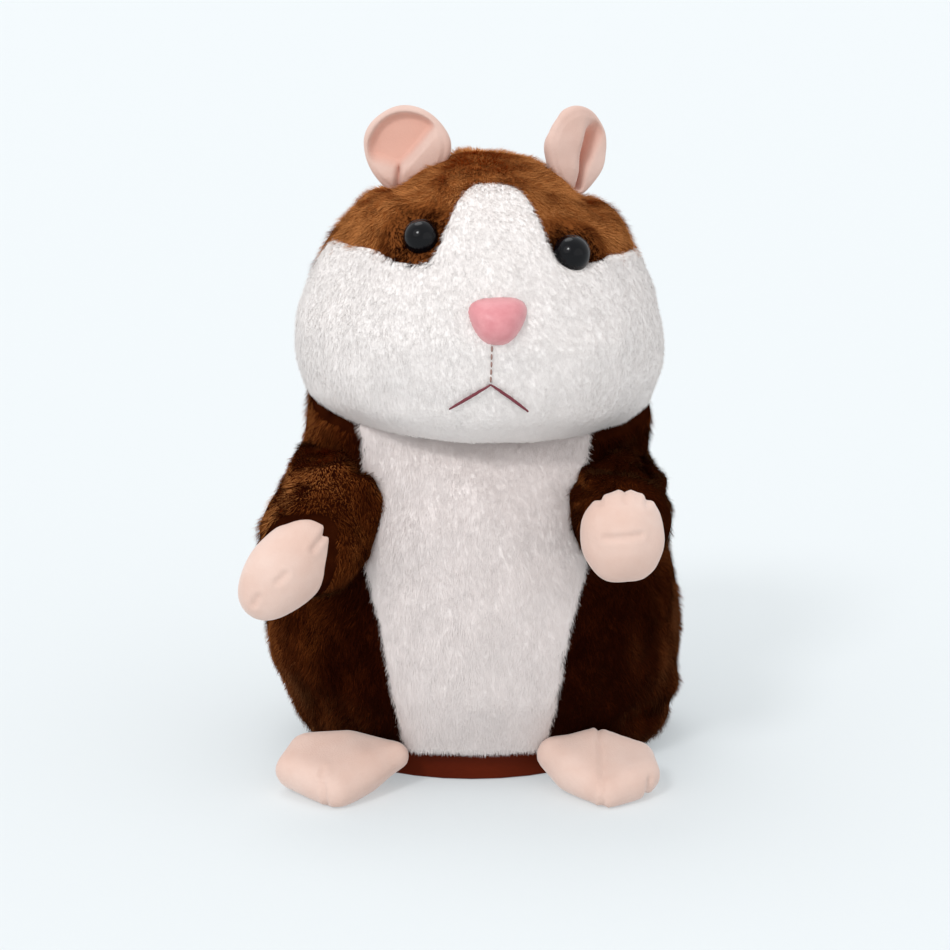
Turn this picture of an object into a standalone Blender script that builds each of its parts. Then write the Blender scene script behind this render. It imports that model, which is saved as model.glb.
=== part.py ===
"""Nodding plush hamster on a plastic base, built as separate pieces.

Metres, +Z up, the face looks along -Y. The origin lies on the underside of the base,
straight below the nod axis. Left and right are the animal's own, so its left is +X.
"""
import math

import bmesh
import bpy
from mathutils import Matrix, Vector

MM = 0.001
SIDES = (("right", -1), ("left", 1))
GAP = 0.3 * MM              # clearance between touching pieces
SKIN = 2.6 * MM             # pile fabric with its backing

# Base tray, an open cup with the battery bay in its floor
DISC_R = 40 * MM
DISC_Y = 12 * MM            # the disc's centre lies behind the origin
TRAY_TOP = 6.2 * MM
TRAY_WALL = 2 * MM
BAY_HALF_X = 25 * MM
BAY_FRONT = 6 * MM
BAY_BACK = 40 * MM
BAY_WALL = 1.4 * MM
BAY_ROOF = 16 * MM

# AAA cells
CELL_R = 5.25 * MM
CELL_LENGTH = 43 * MM
CELL_PITCH = 11 * MM
CELL_Z = 8 * MM

# Mechanism housing
BOX_HALF_X = 22 * MM
BOX_FRONT = -22 * MM
BOX_BACK = 39.5 * MM
BOX_FLOOR = 16.4 * MM
BOX_TOP = 54 * MM
BOX_WALL = 1.6 * MM
LID_TOP = 56 * MM
BASE_SCREWS = ((-16 * MM, -14 * MM), (16 * MM, -14 * MM), (0, 45.5 * MM))
DOOR_SCREW = (-29 * MM, 23 * MM)
HINGE_X = BAY_HALF_X - 1.3 * MM

# Nod linkage, in the plane across X
PIVOT_Z = 62 * MM
LEVER_Z = 42 * MM
LEVER_HALF = 1.5 * MM
CRANK_Y = 15 * MM
CRANK_Z = LEVER_Z
CRANK_THROW = 2.4 * MM
PIN_R = 1 * MM

# Gears
MODULE = 0.6 * MM
SMALL_TEETH = 10
LARGE_TEETH = 36
SPREAD = 0.15 * MM          # extra centre distance, for running clearance
IDLER_ANGLE = math.radians(-45)
MOTOR_ANGLE = math.radians(195)
MOTOR_R = 10 * MM
MOTOR_FACE_X = 6.3 * MM
MOTOR_LENGTH = 25 * MM
MOTOR_FLAT = 7.5 * MM
GEAR_PLATE_X = 14.3 * MM
GEAR_SEATS = {"crank": 7.2 * MM, "idler": 6.3 * MM}     # where each axle starts

# Neck: the body's dome turns inside a hollow in the head
DOME_R = 33.5 * MM
DOME_LEVELS = (81, 85, 89, 92.5, 94.8)
HOLLOW_R = 34.3 * MM

# Head, set on the neck with a slight turn and tilt
HEAD_BASE = Vector((1.5, 0, 82)) * MM
HEAD_TURN = math.radians(4)
HEAD_TILT = math.radians(2)
EYE_R = 4.25 * MM
EYE_X = 17.2 * MM
EYE_Z = {"right": 48.6 * MM, "left": 46.6 * MM}
NOSE_Z = 31 * MM
EAR_X = 19.7 * MM
EAR_Z = 66 * MM
EAR_R = 10.5 * MM
EAR_TURN = {"right": math.radians(-12), "left": math.radians(40)}

# Arms hang from the shoulder axis
SHOULDER_X = 38.5 * MM
SHOULDER_Y = -4 * MM
SHOULDER_Z = 75 * MM
POCKET_X = 26.5 * MM
POCKET_R = 36 * MM



def dome_rings():
    """Round rings in millimetres for the dome that the body turns on inside the head."""
    rings = []
    for level in DOME_LEVELS:
        reach = math.sqrt((DOME_R / MM) ** 2 - (level - PIVOT_Z / MM) ** 2)
        rings.append((level, reach, -reach, reach))
    return rings


# Level oval rings in millimetres: height, half width, front, back
BODY_RINGS = (
    (1, 44, -27, 50), (8, 48.5, -31.5, 53), (22, 52, -36.5, 56), (36, 51, -37.5, 56),
    (50, 48, -36.5, 54), (62, 45, -34, 50), (70, 42, -30.5, 45), (75.5, 37, -25, 36),
    (78.5, 31, -22, 25), *dome_rings(),
)
HEAD_RINGS = (
    (0.6, 20, -20, 22), (3, 35, -33, 32), (8, 42, -38.5, 36.5), (16, 44.5, -41, 38.5),
    (25, 44, -41.5, 39), (34, 41.5, -39, 38), (42, 38.3, -35, 36), (50, 33.5, -30, 32),
    (57, 26.5, -23, 26), (62, 17, -14, 16), (64.6, 5, -5, 5),
)
# Half outlines in millimetres, across and up, from the lower edge to the upper one
BELLY_OUTLINE = ((18.5, 0), (18.5, 9), (22, 30), (23, 51), (22.5, 63), (25, 77))
FACE_OUTLINE = (
    (60, -8), (60, 42), (36, 44.5), (27, 45), (20, 42.5), (15.5, 43),
    (12, 47.5), (8.8, 53), (6, 58.5), (0, 61),
)

BROWN = (0.16, 0.06, 0.02)
WHITE = (0.78, 0.75, 0.73)
PINK = (0.82, 0.62, 0.56)
BLACK = (0.01, 0.01, 0.012)
STEEL = (0.6, 0.6, 0.62)


def new_group(name):
    group = bpy.data.collections.new(name)
    bpy.context.scene.collection.children.link(group)
    return group


for old in list(bpy.data.objects):
    bpy.data.objects.remove(old, do_unlink=True)
PARTS = new_group("plush_hamster")
CUTTERS = new_group("cutters")


def finish(name, colour, roughness=0.9, metallic=0.0):
    """A plain material of the piece's own."""
    material = bpy.data.materials.new(name)
    material.use_nodes = True
    shader = material.node_tree.nodes["Principled BSDF"]
    shader.inputs["Base Color"].default_value = (*colour, 1)
    shader.inputs["Roughness"].default_value = roughness
    shader.inputs["Metallic"].default_value = metallic
    return material


def add(name, bm, spot=(0, 0, 0), turn=(0, 0, 0), parent=None):
    """Turn a bmesh into an object among the cutters; show() makes it a part."""
    bmesh.ops.recalc_face_normals(bm, faces=bm.faces)
    mesh = bpy.data.meshes.new(name)
    bm.to_mesh(mesh)
    bm.free()
    thing = bpy.data.objects.new(name, mesh)
    thing.location = spot
    thing.rotation_euler = turn
    thing.parent = parent
    thing.hide_render = True
    thing.display_type = "WIRE"
    CUTTERS.objects.link(thing)
    return thing


def show(thing, colour, roughness=0.9, metallic=0.0, smooth=False):
    """Move an object from the cutters to the parts and give it its material."""
    CUTTERS.objects.unlink(thing)
    PARTS.objects.link(thing)
    thing.hide_render = False
    thing.display_type = "TEXTURED"
    thing.data.materials.append(finish(thing.name, colour, roughness, metallic))
    if smooth:
        thing.data.shade_smooth()
    return thing


def boolean(thing, operation, *others):
    for other in others:
        step = thing.modifiers.new(operation.lower(), "BOOLEAN")
        step.operation = operation
        step.object = other


def cut(thing, *others):
    boolean(thing, "DIFFERENCE", *others)


def join(thing, *others):
    boolean(thing, "UNION", *others)


def keep(thing, *others):
    boolean(thing, "INTERSECT", *others)


def empty(name, spot, turn=(0, 0, 0), parent=None):
    thing = bpy.data.objects.new(name, None)
    thing.location = spot
    thing.rotation_euler = turn
    thing.parent = parent
    CUTTERS.objects.link(thing)
    return thing


def block(name, low, high, parent=None, spot=None):
    """A box between two corners, with its origin at its middle or at spot."""
    low, high = Vector(low), Vector(high)
    origin = Vector(spot) if spot is not None else (low + high) / 2
    bm = bmesh.new()
    size = Matrix.Diagonal((*(high - low), 1))
    bmesh.ops.create_cube(bm, size=1, matrix=Matrix.Translation((low + high) / 2 - origin) @ size)
    return add(name, bm, origin, parent=parent)


TURNS = {"X": (0, math.pi / 2, 0), "Y": (math.pi / 2, 0, 0), "Z": (0, 0, 0)}


def rod(name, radius, start, end, axis="Z", segments=20, across=(0, 0)):
    """A cylinder along an axis from start to end; across gives its two other coordinates."""
    a, b = across
    middle = (start + end) / 2
    spot = {"X": (middle, a, b), "Y": (a, middle, b), "Z": (a, b, middle)}[axis]
    bm = bmesh.new()
    bmesh.ops.create_cone(bm, cap_ends=True, segments=segments, radius1=radius,
                          radius2=radius, depth=end - start)
    return add(name, bm, spot, TURNS[axis])


def turned(name, profile, steps=20, spot=(0, 0, 0), turn=(0, 0, 0), parent=None, ring=False):
    """Turn a profile about Z: (radius, height) pairs, down the outer side."""
    bm = bmesh.new()
    points = [bm.verts.new((r, 0, z)) for r, z in profile]
    for first, second in zip(points, points[1:]):
        bm.edges.new((first, second))
    if ring:
        bm.edges.new((points[-1], points[0]))
    thing = add(name, bm, spot, turn, parent)
    screw = thing.modifiers.new("turn", "SCREW")
    screw.steps = steps
    screw.render_steps = steps
    screw.use_merge_vertices = True
    screw.merge_threshold = 0.01 * MM
    return thing


def ball(name, radii, spot, turn=(0, 0, 0), parent=None, segments=16, rings=10):
    bm = bmesh.new()
    size = Matrix.Diagonal((*radii, 1))
    bmesh.ops.create_uvsphere(bm, u_segments=segments, v_segments=rings, radius=1, matrix=size)
    return add(name, bm, spot, turn, parent)


def loft(name, rings, grow=0.0, parent=None, segments=24):
    """A closed form through level oval rings, moved out along its normals by grow."""
    bm = bmesh.new()
    loops = []
    for height, half_width, front, back in rings:
        middle, half_depth = (front + back) / 2, (back - front) / 2
        loop = []
        for step in range(segments):
            angle = 2 * math.pi * step / segments
            spot = Vector((half_width * math.sin(angle), middle - half_depth * math.cos(angle), height))
            loop.append(bm.verts.new(spot * MM))
        loops.append(loop)
    for lower, upper in zip(loops, loops[1:]):
        for step in range(segments):
            after = (step + 1) % segments
            bm.faces.new((lower[step], lower[after], upper[after], upper[step]))
    bm.faces.new(loops[0][::-1])
    bm.faces.new(loops[-1])
    bmesh.ops.recalc_face_normals(bm, faces=bm.faces)
    bm.normal_update()
    moves = [(vert, vert.normal * vert.calc_shell_factor() * grow) for vert in bm.verts]
    for vert, move in moves:
        vert.co += move
    return add(name, bm, parent=parent)


def widened(outline, grow):
    """Move the points of a closed outline out along the normals of their two edges."""
    moved = []
    for index, here in enumerate(outline):
        before, after = outline[index - 1], outline[(index + 1) % len(outline)]
        first, second = (here - before).normalized(), (after - here).normalized()
        normals = Vector((first.y, -first.x)), Vector((second.y, -second.x))
        middle = (normals[0] + normals[1]).normalized()
        moved.append(here + middle * grow / middle.dot(normals[0]))
    return moved


def prism(name, outline, front, back, grow=0.0, parent=None):
    """Mirror a half outline about X = 0 and extrude it along Y; grow widens it all round."""
    half = [Vector(spot) * MM for spot in outline]
    mirrored = [Vector((-spot.x, spot.y)) for spot in reversed(half) if spot.x]
    bm = bmesh.new()
    face = bm.faces.new([bm.verts.new((x, front, z)) for x, z in widened(half + mirrored, grow)])
    side = bmesh.ops.extrude_face_region(bm, geom=[face])
    moved = [item for item in side["geom"] if isinstance(item, bmesh.types.BMVert)]
    bmesh.ops.translate(bm, verts=moved, vec=(0, back - front, 0))
    return add(name, bm, parent=parent)


def tube(name, path, grow=0.0, sides=3, spot=(0, 0, 0), parent=None):
    """A round limb or wire through (x, y, z, radius) points, as one closed mesh."""
    curve = bpy.data.curves.new(name, "CURVE")
    curve.dimensions = "3D"
    curve.bevel_depth = 1
    curve.bevel_resolution = sides
    curve.use_fill_caps = True
    spline = curve.splines.new("POLY")
    spline.points.add(len(path) - 1)
    for point, (x, y, z, radius) in zip(spline.points, path):
        point.co = (x - spot[0], y - spot[1], z - spot[2], 1)
        point.radius = radius + grow
    guide = bpy.data.objects.new(name + "_guide", curve)
    CUTTERS.objects.link(guide)
    bpy.context.view_layer.update()
    mesh = bpy.data.meshes.new_from_object(guide.evaluated_get(bpy.context.evaluated_depsgraph_get()))
    bpy.data.objects.remove(guide)
    bm = bmesh.new()
    bm.from_mesh(mesh)
    bpy.data.meshes.remove(mesh)
    bmesh.ops.remove_doubles(bm, verts=bm.verts, dist=0.01 * MM)
    return add(name, bm, spot, parent=parent)


def smooth_path(knots, count):
    """Points along a smooth curve through (x, y, z, radius) knots."""
    spots = []
    last = len(knots) - 1
    for step in range(count):
        along = last * step / (count - 1)
        index = min(int(along), last - 1)
        t = along - index
        near = [Vector(knots[max(0, min(last, index + shift))]) for shift in (-1, 0, 1, 2)]
        p0, p1, p2, p3 = near
        spots.append(0.5 * (2 * p1 + (p2 - p0) * t + (2 * p0 - 5 * p1 + 4 * p2 - p3) * t * t
                            + (3 * p1 - p0 - 3 * p2 + p3) * t ** 3))
    return spots


def front_of(rings, across, height):
    """The front surface of a lofted form at a place across and up."""
    level = height / MM
    for lower, upper in zip(rings, rings[1:]):
        if lower[0] <= level <= upper[0]:
            t = (level - lower[0]) / (upper[0] - lower[0])
            _, half_width, front, back = [a + (b - a) * t for a, b in zip(lower, upper)]
            reach = math.sqrt(max(0, 1 - (across / MM / half_width) ** 2))
            return ((front + back) / 2 - (back - front) / 2 * reach) * MM
    raise ValueError("height outside the form")


def gear_outline(teeth):
    """Trapezoid teeth, cut slim so that they run free."""
    pitch = MODULE * teeth / 2
    tip, root = pitch + 0.9 * MODULE, pitch - 1.2 * MODULE
    spots = []
    for tooth in range(teeth):
        middle = 2 * math.pi * tooth / teeth
        for radius, share in ((root, -0.29), (tip, -0.12), (tip, 0.12), (root, 0.29)):
            angle = middle + share * 2 * math.pi / teeth
            spots.append((radius * math.cos(angle), radius * math.sin(angle)))
    return spots


def gear(name, teeth, start, end, centre, phase, bore=0.0):
    """A gear about X; phase is the direction of a tooth, from +Y towards +Z."""
    y, z = centre
    bm = bmesh.new()
    turn = Matrix.Rotation(phase, 2)
    ring = [turn @ Vector(spot) for spot in gear_outline(teeth)]
    face = bm.faces.new([bm.verts.new((start, a, b)) for a, b in ring])
    side = bmesh.ops.extrude_face_region(bm, geom=[face])
    moved = [item for item in side["geom"] if isinstance(item, bmesh.types.BMVert)]
    bmesh.ops.translate(bm, verts=moved, vec=(end - start, 0, 0))
    wheel = add(name, bm, (0, y, z))
    if bore:
        cut(wheel, rod(name + "_bore", bore, start - MM, end + MM, "X", 16, (y, z)))
    return wheel


head_axis = empty("head_axis", (0, 0, PIVOT_Z))
head_pose = empty("head_pose", HEAD_BASE - Vector((0, 0, PIVOT_Z)), (0, HEAD_TILT, HEAD_TURN), head_axis)
neck_hollow = ball("neck_hollow", (HOLLOW_R,) * 3, (0, 0, PIVOT_Z), segments=24, rings=16)
stem_slot = block("stem_slot", (-5 * MM, -9.5 * MM, 50 * MM), (5 * MM, 9.5 * MM, 100 * MM))


# ---- Base tray, batteries, door and switch ----
def make_base():
    tray = rod("base_tray", DISC_R, 0, TRAY_TOP, "Z", 36, (0, DISC_Y))
    hollow = rod("tray_hollow", DISC_R - TRAY_WALL, TRAY_WALL, 30 * MM, "Z", 36, (0, DISC_Y))
    shell = BAY_WALL
    bay = block("bay", (-BAY_HALF_X - shell, BAY_FRONT - shell, MM),
                (BAY_HALF_X + shell, BAY_BACK + shell, BAY_ROOF))
    bay_room = block("bay_room", (-BAY_HALF_X, BAY_FRONT, -MM), (BAY_HALF_X, BAY_BACK, BAY_ROOF - shell))
    cut(tray, hollow)
    join(tray, bay)
    join(tray, rod("door_boss", 2.8 * MM, MM, 6 * MM, "Z", 16, DOOR_SCREW))
    for index, (x, y) in enumerate(BASE_SCREWS):
        join(tray, rod(f"post_{index}", 3.4 * MM, MM, BAY_ROOF, "Z", 16, (x, y)))
    cut(tray, bay_room)
    for index, (x, y) in enumerate(BASE_SCREWS):
        cut(tray, rod(f"post_hole_{index}", 1.5 * MM, -MM, BAY_ROOF + MM, "Z", 12, (x, y)))
        cut(tray, rod(f"head_hole_{index}", 2.8 * MM, -MM, 2.8 * MM, "Z", 12, (x, y)))
        profile = ((0, 3.2 * MM), (2.4 * MM, 2.1 * MM), (2.4 * MM, 0.5 * MM), (0, 0.5 * MM))
        head = turned(f"base_screw_{index + 1}", profile, 12, (x, y, 0))
        join(head, rod(f"screw_shank_{index}", 1.2 * MM, 1.5 * MM, 20 * MM, "Z", 10, (x, y)))
        show(head, STEEL, 0.35, 1.0)
    cut(tray, block("door_lug_room", (-32.3 * MM, 19 * MM, -MM), (-20 * MM, 27 * MM, 1.9 * MM)))
    cut(tray, rod("door_screw_hole", 1.5 * MM, -MM, 5 * MM, "Z", 12, DOOR_SCREW))
    cut(tray, block("switch_window", (21.5 * MM, -7.7 * MM, -MM), (29 * MM, -4.3 * MM, 3 * MM)))
    show(tray, (0.12, 0.025, 0.015), 0.35)

    for index in range(3):
        y = (BAY_FRONT + BAY_BACK) / 2 + (index - 1) * CELL_PITCH
        side = 1 if index % 2 else -1
        shift = side * 0.9 * MM
        cell = rod(f"battery_cell_{index + 1}", CELL_R, shift - CELL_LENGTH / 2,
                   shift + CELL_LENGTH / 2, "X", 20, (y, CELL_Z))
        tip = shift + side * CELL_LENGTH / 2
        join(cell, rod(f"cell_tip_{index}", 1.9 * MM, min(tip, tip + side * MM) - 0.1 * MM,
                       max(tip, tip + side * MM) + 0.1 * MM, "X", 12, (y, CELL_Z)))
        show(cell, (0.02, 0.3, 0.12), 0.3, 0.6)
        end = -side * (BAY_HALF_X - 0.9 * MM)
        coil_end = shift - side * (CELL_LENGTH / 2 + GAP + 0.3 * MM)
        knots = []
        for step in range(19):
            t = step / 18
            angle = 2 * math.pi * 2.25 * t
            radius = (3.2 - 1.2 * t) * MM
            knots.append((end + (coil_end - end) * t, y + radius * math.cos(angle),
                          CELL_Z + radius * math.sin(angle), 0.25 * MM))
        show(tube(f"battery_spring_{index + 1}", knots, sides=0), STEEL, 0.3, 1.0)
    for name, side in SIDES:
        near, far = side * (BAY_HALF_X - 0.55 * MM), side * (BAY_HALF_X - 0.3 * MM)
        plate = block(f"contact_plate_{name}", (min(near, far), BAY_FRONT + MM, 3 * MM),
                      (max(near, far), BAY_BACK - MM, 13 * MM))
        show(plate, STEEL, 0.3, 1.0)

    hinge_z = 1.05 * MM
    door = block("battery_door", (-BAY_HALF_X + 0.4 * MM, BAY_FRONT + 0.4 * MM, 0.3 * MM),
                 (HINGE_X, BAY_BACK - 0.4 * MM, 1.8 * MM), spot=(HINGE_X, 0, hinge_z))
    join(door, rod("door_barrel", 0.75 * MM, BAY_FRONT + 0.4 * MM, BAY_BACK - 0.4 * MM, "Y", 16,
                   (HINGE_X, hinge_z)))
    join(door, block("door_lug", (-31.9 * MM, 19.4 * MM, 0.3 * MM), (-20 * MM, 26.6 * MM, 1.6 * MM)))
    cut(door, rod("lug_hole", 1.4 * MM, -MM, 3 * MM, "Z", 12, DOOR_SCREW))
    show(door, (0.12, 0.025, 0.015), 0.4)
    show(rod("door_screw", 1.1 * MM, 0.3 * MM, 4.6 * MM, "Z", 12, DOOR_SCREW), STEEL, 0.35, 1.0)

    case = block("switch_body", (20 * MM, -9 * MM, 2.3 * MM), (30.5 * MM, -3 * MM, 6 * MM))
    cut(case, block("switch_room", (21.5 * MM, -7.7 * MM, MM), (29 * MM, -4.3 * MM, 4.5 * MM)))
    show(case, (0.02, 0.02, 0.02), 0.5)
    knob = block("power_switch", (21.9 * MM, -7.3 * MM, 0.6 * MM), (25.3 * MM, -4.7 * MM, 4.1 * MM))
    show(knob, (0.03, 0.03, 0.03), 0.5)


# ---- Mechanism housing with motor, gears, linkage and electronics ----
def make_housing():
    wall = BOX_WALL
    case = block("housing_box", (-BOX_HALF_X, BOX_FRONT, BOX_FLOOR), (BOX_HALF_X, BOX_BACK, BOX_TOP))
    room = block("box_room", (-BOX_HALF_X + wall, BOX_FRONT + wall, BOX_FLOOR + wall),
                 (BOX_HALF_X - wall, BOX_BACK - wall, BOX_TOP + 10 * MM))
    cut(case, room)
    join(case, block("box_lug", (-5 * MM, BOX_BACK - MM, BOX_FLOOR), (5 * MM, 49 * MM, BOX_FLOOR + 2 * MM)))
    for index, (x, y) in enumerate(BASE_SCREWS[:2]):
        join(case, rod(f"box_boss_{index}", 3 * MM, BOX_FLOOR + MM, 21 * MM, "Z", 16, (x, y)))
    for index, (x, y) in enumerate(BASE_SCREWS):
        cut(case, rod(f"boss_hole_{index}", 1.5 * MM, BOX_FLOOR - MM, 20.5 * MM, "Z", 12, (x, y)))
    for side in (-1, 1):
        middle = motor_spot[0] + side * (MOTOR_R + 0.9 * MM)
        rib = block(f"motor_rib_{side}", (-17 * MM, middle - 0.6 * MM, BOX_FLOOR + MM),
                    (4 * MM, middle + 0.6 * MM, 30 * MM))
        join(case, rib)
    for slot in range(5):
        x = (slot - 2) * 4.5 * MM
        cut(case, block(f"grille_{slot}", (x - MM, BOX_FRONT - MM, 28 * MM),
                        (x + MM, BOX_FRONT + 2 * wall, 42 * MM)))
    show(case, (0.75, 0.75, 0.72), 0.5)

    lid = block("housing_lid", (-BOX_HALF_X, BOX_FRONT, BOX_TOP + GAP), (BOX_HALF_X, BOX_BACK, LID_TOP))
    cut(lid, block("lever_slot", (-4.2 * MM, -6 * MM, 50 * MM), (4.2 * MM, 6 * MM, 60 * MM)))
    for side in (-1, 1):
        low, high = sorted((side * 2.3 * MM, side * 4.3 * MM))
        join(lid, block(f"lug_{side}", (low, -3.5 * MM, BOX_TOP + 1.5 * MM), (high, 3.5 * MM, PIVOT_Z)))
        join(lid, rod(f"lug_eye_{side}", 3.5 * MM, low, high, "X", 20, (0, PIVOT_Z)))
        join(lid, block(f"lug_foot_{side}", (low, -8 * MM, BOX_TOP + 0.6 * MM), (high, 8 * MM, LID_TOP)))
    cut(lid, rod("lug_bore", PIN_R + GAP, -6 * MM, 6 * MM, "X", 16, (0, PIVOT_Z)))
    show(lid, (0.75, 0.75, 0.72), 0.5)
    show(rod("neck_pin", PIN_R, -4.6 * MM, 4.6 * MM, "X", 16, (0, PIVOT_Z)), STEEL, 0.25, 1.0)

    y, z = motor_spot
    can = rod("motor", MOTOR_R, MOTOR_FACE_X - MOTOR_LENGTH, MOTOR_FACE_X, "X", 28, (y, z))
    keep(can, block("motor_flats", (-40 * MM, y - 20 * MM, z - MOTOR_FLAT),
                    (20 * MM, y + 20 * MM, z + MOTOR_FLAT)))
    join(can, rod("motor_shaft", PIN_R, MOTOR_FACE_X - MM, 13.2 * MM, "X", 12, (y, z)))
    show(can, STEEL, 0.3, 1.0)

    plate = block("gear_plate", (GEAR_PLATE_X, 4 * MM, 20 * MM), (GEAR_PLATE_X + 1.6 * MM, 36 * MM, 53 * MM))
    for name, spot in (("crank", crank_spot), ("idler", idler_spot)):
        cut(plate, rod(f"{name}_seat", PIN_R + GAP, 10 * MM, 20 * MM, "X", 12, spot))
        axle = rod(f"{name}_axle", PIN_R, GEAR_SEATS[name], GEAR_PLATE_X + 2 * MM, "X", 12, spot)
        show(axle, STEEL, 0.25, 1.0)
    show(plate, (0.75, 0.75, 0.72), 0.5)

    board = block("circuit_board", (-18 * MM, -12 * MM, 21.6 * MM), (18 * MM, -10.8 * MM, 50 * MM))
    join(board, block("voice_chip", (-5 * MM, -11 * MM, 26 * MM), (5 * MM, -9.6 * MM, 36 * MM)))
    join(board, block("capacitor", (9 * MM, -11 * MM, 24 * MM), (14 * MM, -7.6 * MM, 29 * MM)))
    show(board, (0.02, 0.2, 0.06), 0.5)
    cone = ((0, 5), (7, 5), (7, 2), (13.5, 0.6), (13.5, -0.4), (12, -0.4), (4, 2), (0, 1.4))
    speaker = turned("speaker", [(r * MM, z * MM) for r, z in cone], 28,
                     (0, BOX_FRONT + wall + 0.8 * MM, 35 * MM), (-math.pi / 2, 0, 0))
    show(speaker, (0.03, 0.03, 0.03), 0.6)
    microphone = rod("microphone", 3 * MM, BOX_FRONT + wall + GAP, BOX_FRONT + wall + 3 * MM, "Y", 16,
                     (16.5 * MM, 50 * MM))
    show(microphone, STEEL, 0.3, 1.0)
    wires = {
        "motor_wire": ((-19.5, 11.4, 30), (-19.5, 5, 36), (-18.5, -3, 41), (-15, -8, 43), (-13, -10, 43)),
        "speaker_wire": ((8.5, -13.6, 30), (12, -13.8, 28), (17, -13.6, 28), (19.2, -12, 28.5),
                         (19.2, -9, 29), (17, -8.5, 31), (16, -10, 33)),
    }
    for name, knots in wires.items():
        path = [(x * MM, y * MM, z * MM, 0.6 * MM) for x, y, z in knots]
        show(tube(name, smooth_path(path, 14), sides=0), (0.6, 0.02, 0.02), 0.4)


def place_gears():
    """Centres (y, z) of the crank, idler and motor axes, in mesh with each other."""
    apart = MODULE * (SMALL_TEETH + LARGE_TEETH) / 2 + SPREAD
    crank = Vector((CRANK_Y, CRANK_Z))
    idler = crank + apart * Vector((math.cos(IDLER_ANGLE), math.sin(IDLER_ANGLE)))
    motor = idler + apart * Vector((math.cos(MOTOR_ANGLE), math.sin(MOTOR_ANGLE)))
    return crank, idler, motor


def make_gears():
    half_gap = math.pi / SMALL_TEETH
    wheel = gear("crank_gear", LARGE_TEETH, 6.8 * MM, 9.8 * MM, crank_spot, IDLER_ANGLE, PIN_R + GAP)
    crank_pin = (CRANK_Y, CRANK_Z + CRANK_THROW)
    cut(wheel, rod("crank_recess", 8 * MM, 9 * MM, 11 * MM, "X", 24, crank_spot))
    join(wheel, rod("crank_pin", PIN_R, 3.2 * MM, 7 * MM, "X", 14, crank_pin))
    show(wheel, (0.85, 0.85, 0.8), 0.4)

    idler = gear("idler_gear", SMALL_TEETH, 6.6 * MM, 10.8 * MM, idler_spot, IDLER_ANGLE + math.pi + half_gap)
    join(idler, gear("idler_wheel", LARGE_TEETH, 10.4 * MM, 12.6 * MM, idler_spot, MOTOR_ANGLE))
    cut(idler, rod("idler_bore", PIN_R + GAP, 5 * MM, 14 * MM, "X", 14, idler_spot))
    show(idler, (0.85, 0.85, 0.8), 0.4)

    pinion = gear("motor_pinion", SMALL_TEETH, 10.2 * MM, 12.8 * MM, motor_spot,
                  MOTOR_ANGLE + math.pi + half_gap, PIN_R + GAP)
    show(pinion, (0.8, 0.6, 0.25), 0.3, 1.0)

    slope = math.atan2(CRANK_THROW, CRANK_Y)
    near, far = 3.8 * MM, 6.2 * MM
    link = block("connecting_rod", (near, 0, LEVER_Z - 1.1 * MM), (far, CRANK_Y, LEVER_Z + 1.1 * MM),
                 spot=(0, 0, LEVER_Z))
    link.rotation_euler = (slope, 0, 0)
    eyes = {"crank_eye": crank_pin, "lever_eye": (0, LEVER_Z)}
    for name, spot in eyes.items():
        join(link, rod(name, 2.6 * MM, near, far, "X", 18, spot))
    for name, spot in eyes.items():
        cut(link, rod(name + "_hole", PIN_R + GAP, near - MM, far + MM, "X", 14, spot))
    show(link, STEEL, 0.35, 1.0)


# ---- Plush body, feet and tail ----
def arm_pocket(side, name):
    """The room that an arm swings in, cut flat into the side of the body."""
    bm = bmesh.new()
    outline = []
    for step in range(13):
        angle = math.radians(160 + 125 * step / 12)
        outline.append((POCKET_R * math.cos(angle), POCKET_R * math.sin(angle)))
    for step in range(9):
        angle = math.radians(-60 + 200 * step / 8)
        outline.append((11 * MM * math.cos(angle), 11 * MM * math.sin(angle)))
    near, far = sorted((side * POCKET_X, side * 70 * MM))
    face = bm.faces.new([bm.verts.new((near, SHOULDER_Y + y, SHOULDER_Z + z)) for y, z in outline])
    solid = bmesh.ops.extrude_face_region(bm, geom=[face])
    moved = [item for item in solid["geom"] if isinstance(item, bmesh.types.BMVert)]
    bmesh.ops.translate(bm, verts=moved, vec=(far - near, 0, 0))
    return add(f"arm_pocket_{name}", bm)


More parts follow.
